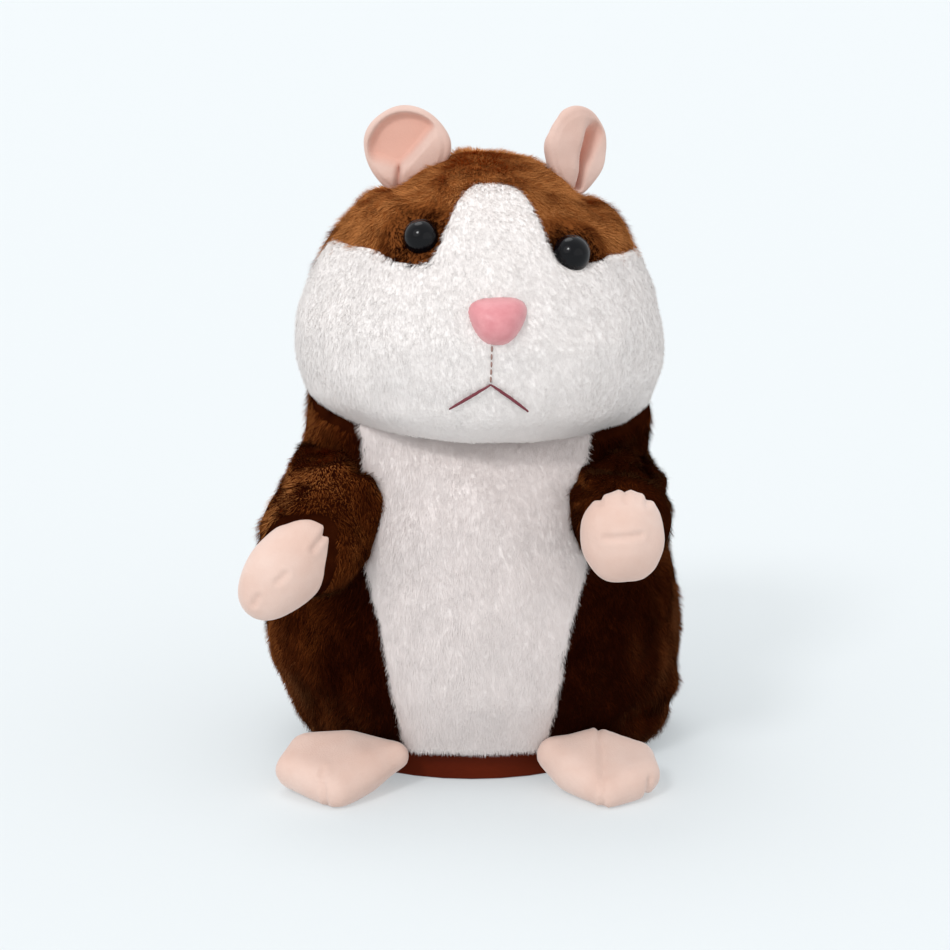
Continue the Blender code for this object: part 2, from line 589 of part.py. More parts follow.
def make_body():
    tray_room = rod("tray_room", DISC_R + 0.5 * MM, -5 * MM, TRAY_TOP + GAP, "Z", 36, (0, DISC_Y))
    front_room = block("front_room", (-24 * MM, -60 * MM, -5 * MM), (24 * MM, -8 * MM, TRAY_TOP + GAP))
    pockets = [arm_pocket(-1, "right"), arm_pocket(1, "left")]
    inner = loft("body_lining", BODY_RINGS, -SKIN)
    belly_cut = prism("belly_cut", BELLY_OUTLINE, -90 * MM, -6 * MM, GAP)
    belly_keep = prism("belly_keep", BELLY_OUTLINE, -90 * MM, -6.3 * MM)

    skin = loft("body_skin", BODY_RINGS)
    cut(skin, inner, tray_room, front_room, *pockets, stem_slot, belly_cut)
    show(skin, BROWN, smooth=True)
    belly = loft("belly_panel", BODY_RINGS)
    cut(belly, inner, tray_room, front_room, stem_slot)
    keep(belly, belly_keep)
    show(belly, WHITE, smooth=True)

    filling = loft("body_stuffing", BODY_RINGS, -SKIN - 3 * GAP)
    rooms = (
        block("box_space", (-BOX_HALF_X - 0.5 * MM, BOX_FRONT - 0.5 * MM, -5 * MM),
              (BOX_HALF_X + 0.5 * MM, BOX_BACK + 0.5 * MM, LID_TOP + 0.6 * MM)),
        block("bay_space", (-27 * MM, 4 * MM, -5 * MM), (27 * MM, 42 * MM, BAY_ROOF + 0.6 * MM)),
        block("lug_space", (-6.5 * MM, 30 * MM, -5 * MM), (6.5 * MM, 49.8 * MM, 21 * MM)),
    )
    cut(filling, tray_room, *rooms, *pockets, stem_slot)
    show(filling, (0.8, 0.8, 0.78), smooth=True)

    outside = loft("body_outside", BODY_RINGS, GAP)
    for name, side in SIDES:
        foot = ball(f"foot_{name}", (15 * MM, 16.5 * MM, 12.8 * MM),
                    (side * 30.5 * MM, -32.5 * MM, 0.6 * MM), (0, 0, -side * 0.12), segments=18, rings=12)
        floor_cut = block(f"foot_floor_{name}", (-70 * MM, -70 * MM, -30 * MM), (70 * MM, 70 * MM, 0.1 * MM))
        cut(foot, outside, tray_room, floor_cut)
        show(foot, PINK, smooth=True)
    tail = ball("tail", (6 * MM,) * 3, (0, 58.5 * MM, 22 * MM), segments=14, rings=8)
    cut(tail, outside)
    show(tail, BROWN, smooth=True)


# ---- Head with its frame and face ----
def make_head():
    frame = block("head_frame", (-LEVER_HALF, -2.5 * MM, LEVER_Z), (LEVER_HALF, 2.5 * MM, PIVOT_Z),
                  head_axis, (0, 0, PIVOT_Z))
    frame.location = (0, 0, 0)
    plate_room = rod("plate_room", 18.6 * MM, 70 * MM, 101 * MM, "Z", 24)
    post_room = block("post_room", (-2.4 * MM, -10.6 * MM, 95 * MM), (2.4 * MM, 10.6 * MM, 119 * MM))
    join(frame, rod("lever_end", 2.5 * MM, -LEVER_HALF, LEVER_HALF, "X", 18, (0, LEVER_Z)),
         rod("frame_hub", 3.6 * MM, -LEVER_HALF - 0.3 * MM, LEVER_HALF + 0.3 * MM, "X", 20, (0, PIVOT_Z)),
         rod("lever_pin", PIN_R, LEVER_HALF - MM, 3.4 * MM, "X", 12, (0, LEVER_Z)),
         block("frame_stem", (-LEVER_HALF, -4 * MM, PIVOT_Z), (LEVER_HALF, 4 * MM, 99 * MM)),
         rod("frame_plate", 17.6 * MM, 98 * MM, 100.2 * MM, "Z", 24),
         block("frame_post", (-LEVER_HALF, -10 * MM, 99.5 * MM), (LEVER_HALF, 10 * MM, 118 * MM)))
    cut(frame, rod("hub_bore", PIN_R + GAP, -6 * MM, 6 * MM, "X", 16, (0, PIVOT_Z)))
    show(frame, (0.75, 0.75, 0.72), 0.5)

    lining = loft("head_lining", HEAD_RINGS, -SKIN, head_pose)
    face_cut = prism("face_cut", FACE_OUTLINE, -90 * MM, 3 * MM, GAP, head_pose)
    face_keep = prism("face_keep", FACE_OUTLINE, -90 * MM, 2.7 * MM, 0, head_pose)
    skin = loft("head_skin", HEAD_RINGS, 0, head_pose)
    cut(skin, lining, neck_hollow, plate_room, face_cut)
    panel = loft("face_panel", HEAD_RINGS, 0, head_pose)
    cut(panel, lining, neck_hollow, plate_room)
    keep(panel, face_keep)
    filling = loft("head_stuffing", HEAD_RINGS, -SKIN - 3 * GAP, head_pose)
    cut(filling, neck_hollow, plate_room, post_room)

    for name, side in SIDES:
        x, z = side * EYE_X, EYE_Z[name]
        y = front_of(HEAD_RINGS, x, z)
        across = (front_of(HEAD_RINGS, x + MM, z) - front_of(HEAD_RINGS, x - MM, z)) / (2 * MM)
        up = (front_of(HEAD_RINGS, x, z + MM) - front_of(HEAD_RINGS, x, z - MM)) / (2 * MM)
        outward = Vector((across, -1, up)).normalized()
        turn = outward.to_track_quat("Z", "Y").to_euler()
        spot = Vector((x, y, z))
        angles = [math.radians(18 * step) for step in range(6)]
        dome = [(EYE_R * math.sin(angle), 0.5 * MM + 3.6 * MM * math.cos(angle)) for angle in angles]
        stem = [(EYE_R * 0.9, 0), (1.2 * MM, 0), (1.2 * MM, -7 * MM), (0, -7 * MM)]
        eye = turned(f"eye_{name}", dome + stem, 16, spot + outward * 0.4 * MM, turn, head_pose)
        show(eye, BLACK, 0.05, smooth=True)
        hole = ((0, 6 * MM), (1.6 * MM, 6 * MM), (1.6 * MM, -4 * MM), (0, -4 * MM))
        stem_hole = turned(f"eye_hole_{name}", hole, 12, spot, turn, head_pose)
        cut(skin, stem_hole)
        cut(panel, stem_hole)
        room = ((0, 0), (5.6 * MM, 0), (5.6 * MM, -8 * MM), (0, -8 * MM))
        cut(filling, turned(f"washer_room_{name}", room, 16, spot, turn, head_pose))
        disc = ((4.6 * MM, -4 * MM), (4.6 * MM, -5.2 * MM), (1.5 * MM, -5.2 * MM), (1.5 * MM, -4 * MM))
        washer = turned(f"eye_washer_{name}", disc, 16, spot, turn, head_pose, ring=True)
        show(washer, (0.85, 0.85, 0.85), 0.4)

        facing = (0, 0, EAR_TURN[name])
        ear_spot = Vector((side * EAR_X, 0, EAR_Z))
        dent_spot = ear_spot + Matrix.Rotation(EAR_TURN[name], 3, "Z") @ Vector((0, -3.6 * MM, MM))
        ear = ball(f"ear_{name}", (EAR_R, 3.4 * MM, EAR_R + GAP), ear_spot, facing, head_pose, 18, 10)
        dent = ball(f"ear_dent_{name}", (7.5 * MM, 2.6 * MM, 7.5 * MM), dent_spot, facing, head_pose, 16, 10)
        cut(ear, dent, loft(f"ear_seat_{name}", HEAD_RINGS, GAP, head_pose))
        show(ear, PINK, smooth=True)
    show(skin, BROWN, smooth=True)
    show(panel, WHITE, smooth=True)
    show(filling, (0.8, 0.8, 0.78), smooth=True)

    outside = loft("face_outside", HEAD_RINGS, GAP, head_pose)
    nose_outline = ((0, -6.2), (3.4, -3), (6.4, 1), (7.2, 3.6), (5.6, 5.2), (0, 5.4))
    raised = [(x, z + NOSE_Z / MM) for x, z in nose_outline]
    nose = prism("nose", raised, -45.6 * MM, -30 * MM, 0, head_pose)
    soft = nose.modifiers.new("soft_edge", "BEVEL")
    soft.width = 1.4 * MM
    soft.segments = 3
    cut(nose, outside)
    show(nose, (0.75, 0.3, 0.35), 0.4, smooth=True)

    mouth_outline = ((0.45, NOSE_Z / MM - 8), (0.45, 17.4), (9, 11), (8.4, 10.2), (0, 16.2))
    mouth = prism("mouth_stitch", mouth_outline, -80 * MM, -10 * MM, 0, head_pose)
    cut(mouth, outside)
    keep(mouth, loft("mouth_limit", HEAD_RINGS, GAP + 0.7 * MM, head_pose))
    show(mouth, (0.2, 0.03, 0.04), 0.8)


# ---- Arms, hung from the shoulder axis ----
ARM_PATHS = {
    "right": ((-38.5, -4, 75, 8.3), (-39.5, -11, 68, 11.2), (-40, -21, 61.5, 12), (-40.5, -31, 58, 9.5)),
    "left": ((38.5, -4, 75, 8.3), (40, -12, 70, 10.5), (39, -23, 66.5, 11), (37, -35, 65.5, 9.5)),
}
PAWS = {
    "right": ((-44, -42, 55.5), (12.5, 7.8, 7.6), (-0.62, -0.55, -0.45)),
    "left": ((34.5, -45, 65.3), (9.3, 7.5, 10.4), (0, -1, 0)),
}


def make_arms():
    for name, side in SIDES:
        shoulder = empty(f"shoulder_{name}", (side * SHOULDER_X, SHOULDER_Y, SHOULDER_Z))
        knots = [tuple(value * MM for value in knot) for knot in ARM_PATHS[name]]
        spot = Vector(shoulder.location)
        arm = tube(f"arm_{name}", smooth_path(knots, 9), sides=4, spot=spot, parent=shoulder)
        arm.location = (0, 0, 0)
        show(arm, BROWN, smooth=True)
        seat = tube(f"paw_seat_{name}", smooth_path(knots, 9), GAP, 4, spot, shoulder)
        seat.location = (0, 0, 0)
        centre, radii, along = PAWS[name]
        turn = Vector(along).to_track_quat("X" if name == "right" else "-Y", "Z").to_euler()
        paw = ball(f"paw_{name}", Vector(radii) * MM, Vector(centre) * MM - spot, turn, shoulder)
        cut(paw, seat)
        show(paw, PINK, smooth=True)


crank_spot, idler_spot, motor_spot = place_gears()
make_base()
make_housing()
make_gears()
make_body()
make_head()
make_arms()
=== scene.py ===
"""Looks of the nodding plush hamster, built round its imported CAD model. Metres, +Z up, face along -Y."""
import math

import bmesh
import bpy
import numpy as np
from mathutils import Euler, Matrix, Vector
from mathutils.bvhtree import BVHTree


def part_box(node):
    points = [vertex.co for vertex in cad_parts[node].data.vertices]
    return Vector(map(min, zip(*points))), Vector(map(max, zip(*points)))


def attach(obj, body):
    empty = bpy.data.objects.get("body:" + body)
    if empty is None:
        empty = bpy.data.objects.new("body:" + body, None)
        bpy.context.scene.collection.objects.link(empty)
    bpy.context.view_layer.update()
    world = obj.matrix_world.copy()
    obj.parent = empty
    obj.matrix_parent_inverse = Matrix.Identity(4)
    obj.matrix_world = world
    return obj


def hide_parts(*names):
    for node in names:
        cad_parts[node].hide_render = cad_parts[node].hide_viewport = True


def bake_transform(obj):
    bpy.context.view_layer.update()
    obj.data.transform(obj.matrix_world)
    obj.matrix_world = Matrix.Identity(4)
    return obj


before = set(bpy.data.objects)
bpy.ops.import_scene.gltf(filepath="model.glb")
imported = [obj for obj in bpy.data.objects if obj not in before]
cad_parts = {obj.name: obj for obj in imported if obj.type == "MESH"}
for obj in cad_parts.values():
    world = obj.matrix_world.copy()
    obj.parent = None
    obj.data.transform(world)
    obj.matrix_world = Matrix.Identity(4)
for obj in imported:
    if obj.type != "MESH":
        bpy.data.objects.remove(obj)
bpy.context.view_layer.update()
MM = 0.001

# Camera: straight in front, a little above
CAMERA_RISE = math.radians(12.5)
CAMERA_AWAY = 0.6
CAMERA_LENS = 92.8
CAMERA_AIM = Vector((0.7, 0, 68.5)) * MM

# The head's own frame: its base on the neck, and its slight turn and tilt
HEAD_TURN = Euler((0, math.radians(2), math.radians(4)))
HEAD_POSE = Matrix.Translation(Vector((1.5, 0, 82)) * MM) @ HEAD_TURN.to_matrix().to_4x4()

# The height at which the brown coat goes from the body's piece to the head's
COAT_SPLIT = 78 * MM

# White marks, in millimetres: half width against height on the belly, top against half width on the face
BELLY_EDGE = ((5, 9, 20, 38, 53, 70, 95), (17, 17.2, 19.3, 22.3, 26.5, 26.5, 28))
BELLY_CENTRE = 0.8
FACE_EDGE = ((0, 4, 6.5, 8.5, 11, 12.8, 14.5, 17.5, 22, 27, 36, 45, 60),
             (60, 59.7, 58.5, 56, 51, 46.5, 43.5, 42.2, 42.6, 44.5, 44.5, 42.5, 41))
FACE_BACK = 3.5

# How high the cloth is turned in under the body, and how high its hem hangs above the floor in front
TURN_IN = 24 * MM
FRONT_HEM = 8.6 * MM

# How deep the brown skin lies under the white panels, in millimetres
SINK = 2.5

# How far the eye beads sit from the CAD eyes
EYE_SHIFT = {"right": Vector((0.9, 0, -0.9)) * MM, "left": Vector((0.4, -0.2, -1.7)) * MM}

# Thread: half its thickness in the seam and in the lips
SEAM_THREAD = 0.22 * MM
LIP_THREAD = 0.37 * MM

# Colours, linear. The browns are lit and shaded copies of one brown, from dark to light: painted light and shade.
# The face and belly tints differ at random.
BROWN_LIT_AND_SHADED_TINTS = ((0.012, 0.0018, 0.0007), (0.027, 0.0045, 0.0012), (0.058, 0.0115, 0.0026), (0.11, 0.026, 0.0056),
               (0.21, 0.060, 0.014), (0.34, 0.112, 0.030), (0.50, 0.19, 0.058))
FACE_TINTS = ((0.85, 0.80, 0.775), (0.87, 0.82, 0.795), (0.89, 0.84, 0.815))
BELLY_TINTS = ((0.81, 0.735, 0.71), (0.835, 0.76, 0.735), (0.86, 0.785, 0.76))


# ---------------------------------------------------------------- materials
def new_material(name):
    material = bpy.data.materials.new(name)
    material.use_nodes = True
    return material, material.node_tree, material.node_tree.nodes["Principled BSDF"]


def plain(name, colour, **sockets):
    material, _, shader = new_material(name)
    shader.inputs["Base Color"].default_value = (*colour, 1)
    for socket, value in sockets.items():
        shader.inputs[socket.replace("_", " ")].default_value = value
    return material


def noise_node(tree, scale, detail=4.0, rough=0.6):
    """Noise in object space, scale in features a metre."""
    place = tree.nodes.new("ShaderNodeTexCoord")
    node = tree.nodes.new("ShaderNodeTexNoise")
    node.inputs["Scale"].default_value = scale
    node.inputs["Detail"].default_value = detail
    node.inputs["Roughness"].default_value = rough
    tree.links.new(place.outputs["Object"], node.inputs["Vector"])
    return node


def mottled(name, dark, light, scale, bump_scale, bump, rough=0.85, grain=0.1, **sockets):
    """Two tones mixed by noise, with a fine bump and a roughness that varies a little."""
    material, tree, shader = new_material(name)
    for socket, value in sockets.items():
        shader.inputs[socket.replace("_", " ")].default_value = value
    patches = noise_node(tree, scale)
    ramp = tree.nodes.new("ShaderNodeValToRGB")
    ramp.color_ramp.elements[0].position = 0.35
    ramp.color_ramp.elements[1].position = 0.68
    ramp.color_ramp.elements[0].color = (*dark, 1)
    ramp.color_ramp.elements[1].color = (*light, 1)
    tree.links.new(patches.outputs["Fac"], ramp.inputs["Fac"])
    tree.links.new(ramp.outputs["Color"], shader.inputs["Base Color"])
    fine = noise_node(tree, bump_scale, 3.0)
    lift = tree.nodes.new("ShaderNodeBump")
    lift.inputs["Strength"].default_value = bump
    lift.inputs["Distance"].default_value = 0.0003
    tree.links.new(fine.outputs["Fac"], lift.inputs["Height"])
    tree.links.new(lift.outputs["Normal"], shader.inputs["Normal"])
    spread = tree.nodes.new("ShaderNodeMapRange")
    spread.inputs["To Min"].default_value = max(0.02, rough - grain)
    spread.inputs["To Max"].default_value = min(1.0, rough + grain)
    tree.links.new(fine.outputs["Fac"], spread.inputs["Value"])
    tree.links.new(spread.outputs["Result"], shader.inputs["Roughness"])
    return material


# ---------------------------------------------------------------- mesh tools
def as_object(name, bm, material=None, smooth=True):
    mesh = bpy.data.meshes.new(name)
    bm.to_mesh(mesh)
    bm.free()
    if smooth:
        mesh.shade_smooth()
    thing = bpy.data.objects.new(name, mesh)
    bpy.context.scene.collection.objects.link(thing)
    if material:
        mesh.materials.append(material)
    return thing


def hull(points):
    """The convex hull of some points, as a bmesh."""
    bm = bmesh.new()
    for point in points:
        bm.verts.new(point)
    made = bmesh.ops.convex_hull(bm, input=bm.verts)
    spare = [item for item in made["geom_interior"] + made["geom_unused"] if isinstance(item, bmesh.types.BMVert)]
    bmesh.ops.delete(bm, geom=list(set(spare)), context="VERTS")
    return bm


def merged(*meshes):
    """Several bmeshes in one, still as separate bodies."""
    whole = bmesh.new()
    for bm in meshes:
        mesh = bpy.data.meshes.new("part")
        bm.to_mesh(mesh)
        bm.free()
        whole.from_mesh(mesh)
        bpy.data.meshes.remove(mesh)
    return whole


def apply_modifiers(thing):
    evaluated = thing.evaluated_get(bpy.context.evaluated_depsgraph_get())
    mesh = bpy.data.meshes.new_from_object(evaluated)
    thing.modifiers.clear()
    thing.data = mesh
    return thing


def moulded(name, bm, voxel, rounds, material=None):
    """One smooth skin over some overlapping bodies."""
    thing = as_object(name, bm)
    remesh = thing.modifiers.new("skin", "REMESH")
    remesh.mode = "VOXEL"
    remesh.voxel_size = voxel
    smooth = thing.modifiers.new("smooth", "SMOOTH")
    smooth.factor = 0.5
    smooth.iterations = rounds
    bpy.context.view_layer.update()
    apply_modifiers(thing)
    thing.data.shade_smooth()
    if material:
        thing.data.materials.append(material)
    return thing


def coordinates(thing):
    co = np.empty(len(thing.data.vertices) * 3)
    thing.data.vertices.foreach_get("co", co)
    return co.reshape(-1, 3)


def normals(thing):
    out = np.empty(len(thing.data.vertices) * 3)
    thing.data.vertices.foreach_get("normal", out)
    return out.reshape(-1, 3)


def set_coordinates(thing, co):
    thing.data.vertices.foreach_set("co", co.ravel())
    thing.data.update()


def node_points(*names):
    return np.concatenate([coordinates(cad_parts[name]) for name in names])


def local(points, pose):
    """Points in a piece's own frame, in millimetres."""
    back = np.array(pose.inverted())
    return (points @ back[:3, :3].T + back[:3, 3]) / MM


def ripple(points, size, seed):
    """Smooth noise from -1 to 1 with features of about this size, in metres."""
    rng = np.random.default_rng(seed)
    total = np.zeros(len(points))
    for _ in range(9):
        along = rng.normal(size=3)
        along *= rng.uniform(0.6, 1.5) * 2 * math.pi / size / np.linalg.norm(along) / 1.6
        total += np.sin(points @ along + rng.uniform(0, 6.28))
    return np.clip(total / 4.2, -1, 1)


def smoothstep(value, low, high):
    t = np.clip((value - low) / (high - low), 0, 1)
    return t * t * (3 - 2 * t)


def panel(name, source, inside, lift, material):
    """A cloth panel off a skin. inside is millimetres in from its edge, where it dives under the skin."""
    bm = bmesh.new()
    bm.from_mesh(source.data)
    bm.verts.ensure_lookup_table()
    bm.normal_update()
    rise = lift - (lift + 2 * MM) * (1 - smoothstep(inside, -1.8, 1.2))
    for vert in bm.verts:
        vert.co += vert.normal * rise[vert.index]
    gone = [face for face in bm.faces if min(inside[vert.index] for vert in face.verts) < -2.5]
    bmesh.ops.delete(bm, geom=gone, context="FACES")
    bmesh.ops.delete(bm, geom=[vert for vert in bm.verts if not vert.link_faces], context="VERTS")
    thing = as_object(name, bm, material)
    shell = thing.modifiers.new("cloth", "SOLIDIFY")
    shell.thickness = 1.2 * MM
    shell.offset = -1
    bpy.context.view_layer.update()
    return apply_modifiers(thing)


def crease(points, start, end, depth, width, swell=0.3, seen=(1, 1, 1)):
    """How far in a stitched or folded line draws the cloth, with the slight swell on each side of it.
    seen leaves out an axis the line runs right through along."""
    start, end = np.array(start) * seen * MM, np.array(end) * seen * MM
    points = points * seen
    along = end - start
    share = np.clip((points - start) @ along / (along @ along), 0, 1)
    away = np.linalg.norm(points - start - share[:, None] * along, axis=1) / (width * MM)
    return (depth * MM) * (np.exp(-away ** 2) - swell * np.exp(-(away - 2) ** 2))


def ball(centre, radii, turn=(0, 0, 0)):
    bm = bmesh.new()
    pose = Matrix.LocRotScale(Vector(centre) * MM, Euler([math.radians(a) for a in turn]), Vector(radii) * MM)
    bmesh.ops.create_icosphere(bm, subdivisions=4, radius=1, matrix=pose)
    return bm


def limb(path, step=1.5):
    """Balls strung along a path of (x, y, z, radius)."""
    balls = []
    for start, end in zip(path[:-1], path[1:]):
        start, end = np.array(start, float), np.array(end, float)
        count = max(1, int(np.linalg.norm(end[:3] - start[:3]) / step))
        for share in np.linspace(0, 1, count, endpoint=False):
            x, y, z, radius = start + (end - start) * share
            balls.append(ball((x, y, z), (radius,) * 3))
    x, y, z, radius = path[-1]
    balls.append(ball((x, y, z), (radius,) * 3))
    return merged(*balls)


def join_rings(bm, rings):
    """Faces between each ring of vertices and the next one. A ring may be a single point."""
    for low, high in zip(rings[:-1], rings[1:]):
        for k in range(max(len(low), len(high))):
            corners = [low[k % len(low)], low[(k + 1) % len(low)], high[(k + 1) % len(high)], high[k % len(high)]]
            corners = list(dict.fromkeys(corners))
            if len(corners) > 2:
                bm.faces.new(corners)


def lathe(name, profile, steps, pose, material):
    """A turned piece: (radius, height) pairs in millimetres, spun round its own Z.
    The profile runs from axis to axis, or ends where it starts."""
    bm = bmesh.new()
    rings = []
    for radius, height in profile:
        turn = [2 * math.pi * k / steps for k in range(steps if radius > 1e-4 else 1)]
        rings.append([bm.verts.new(pose @ (Vector((radius * math.cos(t), radius * math.sin(t), height)) * MM))
                      for t in turn])
    join_rings(bm, rings)
    bmesh.ops.remove_doubles(bm, verts=bm.verts, dist=1e-6)
    bmesh.ops.recalc_face_normals(bm, faces=bm.faces)
    return as_object(name, bm, material)


def arc(centre, radius, start, end, count):
    """Points on an arc of a profile, by angles in degrees."""
    angles = np.radians(np.linspace(start, end, count))
    return [(max(0.0, centre[0] + radius * math.cos(a)), centre[1] + radius * math.sin(a)) for a in angles]


def thread(name, path, radius, material, sides=8, taper=0.35):
    """A round thread along a path of points in metres, thinner at both ends."""
    bm = bmesh.new()
    rings = []
    for index, point in enumerate(path):
        point = Vector(point)
        along = (Vector(path[min(index + 1, len(path) - 1)]) - Vector(path[max(index - 1, 0)])).normalized()
        across = along.cross(Vector((0, 1, 0))).normalized()
        over = along.cross(across)
        share = index / (len(path) - 1)
        thick = radius * (taper + (1 - taper) * math.sin(math.pi * min(max(share, 0.02), 0.98)) ** 0.4)
        rings.append([bm.verts.new(point + thick * (math.cos(t) * across + math.sin(t) * over))
                      for t in (2 * math.pi * k / sides for k in range(sides))])
    join_rings(bm, rings)
    bm.faces.new(rings[0])
    bm.faces.new(rings[-1])
    bmesh.ops.recalc_face_normals(bm, faces=bm.faces)
    return as_object(name, bm, material)


# ---------------------------------------------------------------- pile
def grow_pile(name, skin, tints, per_mm2, length, width, lean, seed, keep=None, comb=(0, 0, -1), wave=0.5, spread=0.22,
              shading=None, fuzz=0.16, patches=1.0):
    """Short fibres on a skin, combed one way, each a slim blade shaded with the cloth below it.
    lean is the angle to the skin in radians. keep(root, out) and shading(root, out) take each blade's root and the
    skin's normal there: keep says which blades stay, and shading runs from 0, the first tint, to 1, the last."""
    rng = np.random.default_rng(seed)
    mesh = skin.data
    mesh.calc_loop_triangles()
    corners = np.empty(len(mesh.loop_triangles) * 3, dtype=np.int32)
    mesh.loop_triangles.foreach_get("vertices", corners)
    corners = corners.reshape(-1, 3)
    co, no = coordinates(skin), normals(skin)
    a, b, c = (co[corners[:, k]] for k in range(3))
    area = np.linalg.norm(np.cross(b - a, c - a), axis=1) / 2
    count = int(area.sum() / MM ** 2 * per_mm2)
    picks = np.searchsorted(np.cumsum(area) / area.sum(), np.sort(rng.random(count)))
    picks = np.minimum(picks, len(area) - 1)
    u, v = rng.random(count), rng.random(count)
    flip = u + v > 1
    u[flip], v[flip] = 1 - u[flip], 1 - v[flip]
    weights = np.stack([1 - u - v, u, v], axis=1)[:, :, None]
    root = (co[corners[picks]] * weights).sum(axis=1)
    out = (no[corners[picks]] * weights).sum(axis=1)
    out /= np.linalg.norm(out, axis=1)[:, None]
    if keep is not None:
        held = keep(root, out)
        root, out = root[held], out[held]
    count = len(root)
    down = np.array(comb, float)[None, :] - out * (out @ np.array(comb, float))[:, None]
    down /= np.maximum(np.linalg.norm(down, axis=1), 1e-6)[:, None]
    aside = np.cross(out, down)
    turn = wave * (ripple(root, 14 * MM, seed + 1) + 0.8 * ripple(root, 4 * MM, seed + 2)) * patches
    turn = turn + rng.normal(0, spread, count)
    along = down * np.cos(turn)[:, None] + aside * np.sin(turn)[:, None]
    rise = np.clip(lean + 0.25 * patches * ripple(root, 5 * MM, seed + 3) + rng.normal(0, 0.12, count), 0.08, 1.4)
    fibre = along * np.cos(rise)[:, None] + out * np.sin(rise)[:, None]
    size = length * (1 + 0.22 * patches * ripple(root, 6 * MM, seed + 4)) * rng.uniform(0.65, 1.25, count)
    tip = root + fibre * size[:, None]
    side = np.cross(out, along) * (width * rng.uniform(0.7, 1.2, count) / 2)[:, None]
    base = root - out * 0.25 * MM
    verts = np.stack([base + side, base - side, tip], axis=1).reshape(-1, 3)
    verts[:, 2] = np.maximum(verts[:, 2], 0.2 * MM)
    pile = bpy.data.meshes.new(name)
    pile.vertices.add(3 * count)
    pile.loops.add(3 * count)
    pile.polygons.add(count)
    pile.vertices.foreach_set("co", verts.ravel())
    pile.loops.foreach_set("vertex_index", np.arange(3 * count, dtype=np.int32))
    pile.polygons.foreach_set("loop_start", np.arange(0, 3 * count, 3, dtype=np.int32))
    # The shading function paints light and shade into the choice of tint; the ripples and noise then vary it at random.
    shade = 0.5 if shading is None else shading(root, out)
    shade = shade + 0.09 * ripple(root, 12 * MM, seed + 5) + 0.05 * ripple(root, 4 * MM, seed + 6)
    shade = shade + rng.normal(0, 0.06, count)
    level = np.clip((shade * len(tints)).astype(int), 0, len(tints) - 1)
    pile.update(calc_edges=True)
    pile.polygons.foreach_set("material_index", level.astype(np.int32))
    for material in tints:
        pile.materials.append(material)
    pile.shade_smooth()
    soft = out + 1.7 * fuzz * fibre + rng.normal(0, fuzz, (count, 3))
    soft /= np.linalg.norm(soft, axis=1)[:, None]
    pile.normals_split_custom_set_from_vertices(np.repeat(soft, 3, axis=0).tolist())
    thing = bpy.data.objects.new(name, pile)
    bpy.context.scene.collection.objects.link(thing)
    return thing


def dye(name, tints, sheen, sheen_tint, rough=0.75):
    return [plain(f"{name}_{index + 1}", tint, Roughness=rough, Sheen_Weight=sheen, Sheen_Roughness=0.35,
                  Sheen_Tint=(*sheen_tint, 1), Specular_IOR_Level=0.0) for index, tint in enumerate(tints)]


def tinted(material, factor, colour):
    """A material whose base colour goes over to another one as a factor socket goes to 1."""
    tree = material.node_tree
    target = tree.nodes["Principled BSDF"].inputs["Base Color"]
    mix = tree.nodes.new("ShaderNodeMixRGB")
    mix.inputs["Color2"].default_value = (*colour, 1)
    tree.links.new(target.links[0].from_socket, mix.inputs["Color1"])
    tree.links.new(factor(tree), mix.inputs["Fac"])
    tree.links.new(mix.outputs["Color"], target)
    return material


def painted_light_from_above(tree):
    """Painted light from above: 0 at the hips, 1 on the head."""
    place = tree.nodes.new("ShaderNodeTexCoord")
    split = tree.nodes.new("ShaderNodeSeparateXYZ")
    ramp = tree.nodes.new("ShaderNodeMapRange")
    ramp.inputs["From Min"].default_value = 0.09
    ramp.inputs["From Max"].default_value = 0.135
    tree.links.new(place.outputs["Object"], split.inputs["Vector"])
    tree.links.new(split.outputs["Z"], ramp.inputs["Value"])
    return ramp.outputs["Result"]


def painted_hollow_shade(tree):
    """Painted shade in the ear hollows: the amount stored on a mesh for how far its cloth is pressed in."""
    stored = tree.nodes.new("ShaderNodeAttribute")
    stored.attribute_name = "hollow_shade_amount"
    return stored.outputs["Fac"]


# The brown pile's materials are painted light and shade: each is a lit or shaded copy of one brown.
BROWN_PILE_LIT_AND_SHADED = dye("brown_pile", BROWN_LIT_AND_SHADED_TINTS, 0.15, (1.0, 0.42, 0.16))
FACE_PILE = dye("face_pile", FACE_TINTS, 0.15, (1.0, 0.97, 0.96))
BELLY_PILE = dye("belly_pile", BELLY_TINTS, 0.1, (1.0, 0.97, 0.96))
# Painted light from above: the brown cloth goes over to a lighter brown up the head.
BROWN_CLOTH_LIT_FROM_ABOVE = tinted(mottled("brown_cloth_lit_from_above", (0.016, 0.0028, 0.0009), (0.03, 0.006, 0.0015), 160, 1500, 0.5, 0.9,
                             Specular_IOR_Level=0.0), painted_light_from_above, (0.20, 0.060, 0.015))
WHITE_CLOTH = mottled("white_cloth", (0.87, 0.82, 0.795), (0.91, 0.86, 0.835), 120, 1500, 0.3, 0.9)
BELLY_CLOTH = mottled("belly_cloth", (0.82, 0.75, 0.725), (0.86, 0.79, 0.765), 120, 1500, 0.3, 0.9)
PINK_CLOTH = mottled("pink_velour", (0.66, 0.445, 0.365), (0.72, 0.53, 0.455), 60, 2200, 0.35, 0.8,
                     Sheen_Weight=0.4, Sheen_Roughness=0.4)
# Painted shade in the ear hollows: the velour goes over to a deeper rose where its front is pressed in.
EAR_CLOTH_HOLLOW_SHADED = tinted(mottled("ear_velour_hollow_shaded", (0.64, 0.425, 0.355), (0.71, 0.51, 0.44), 60, 2200, 0.35, 0.8,
                           Sheen_Weight=0.4, Sheen_Roughness=0.4), painted_hollow_shade, (0.70, 0.375, 0.29))


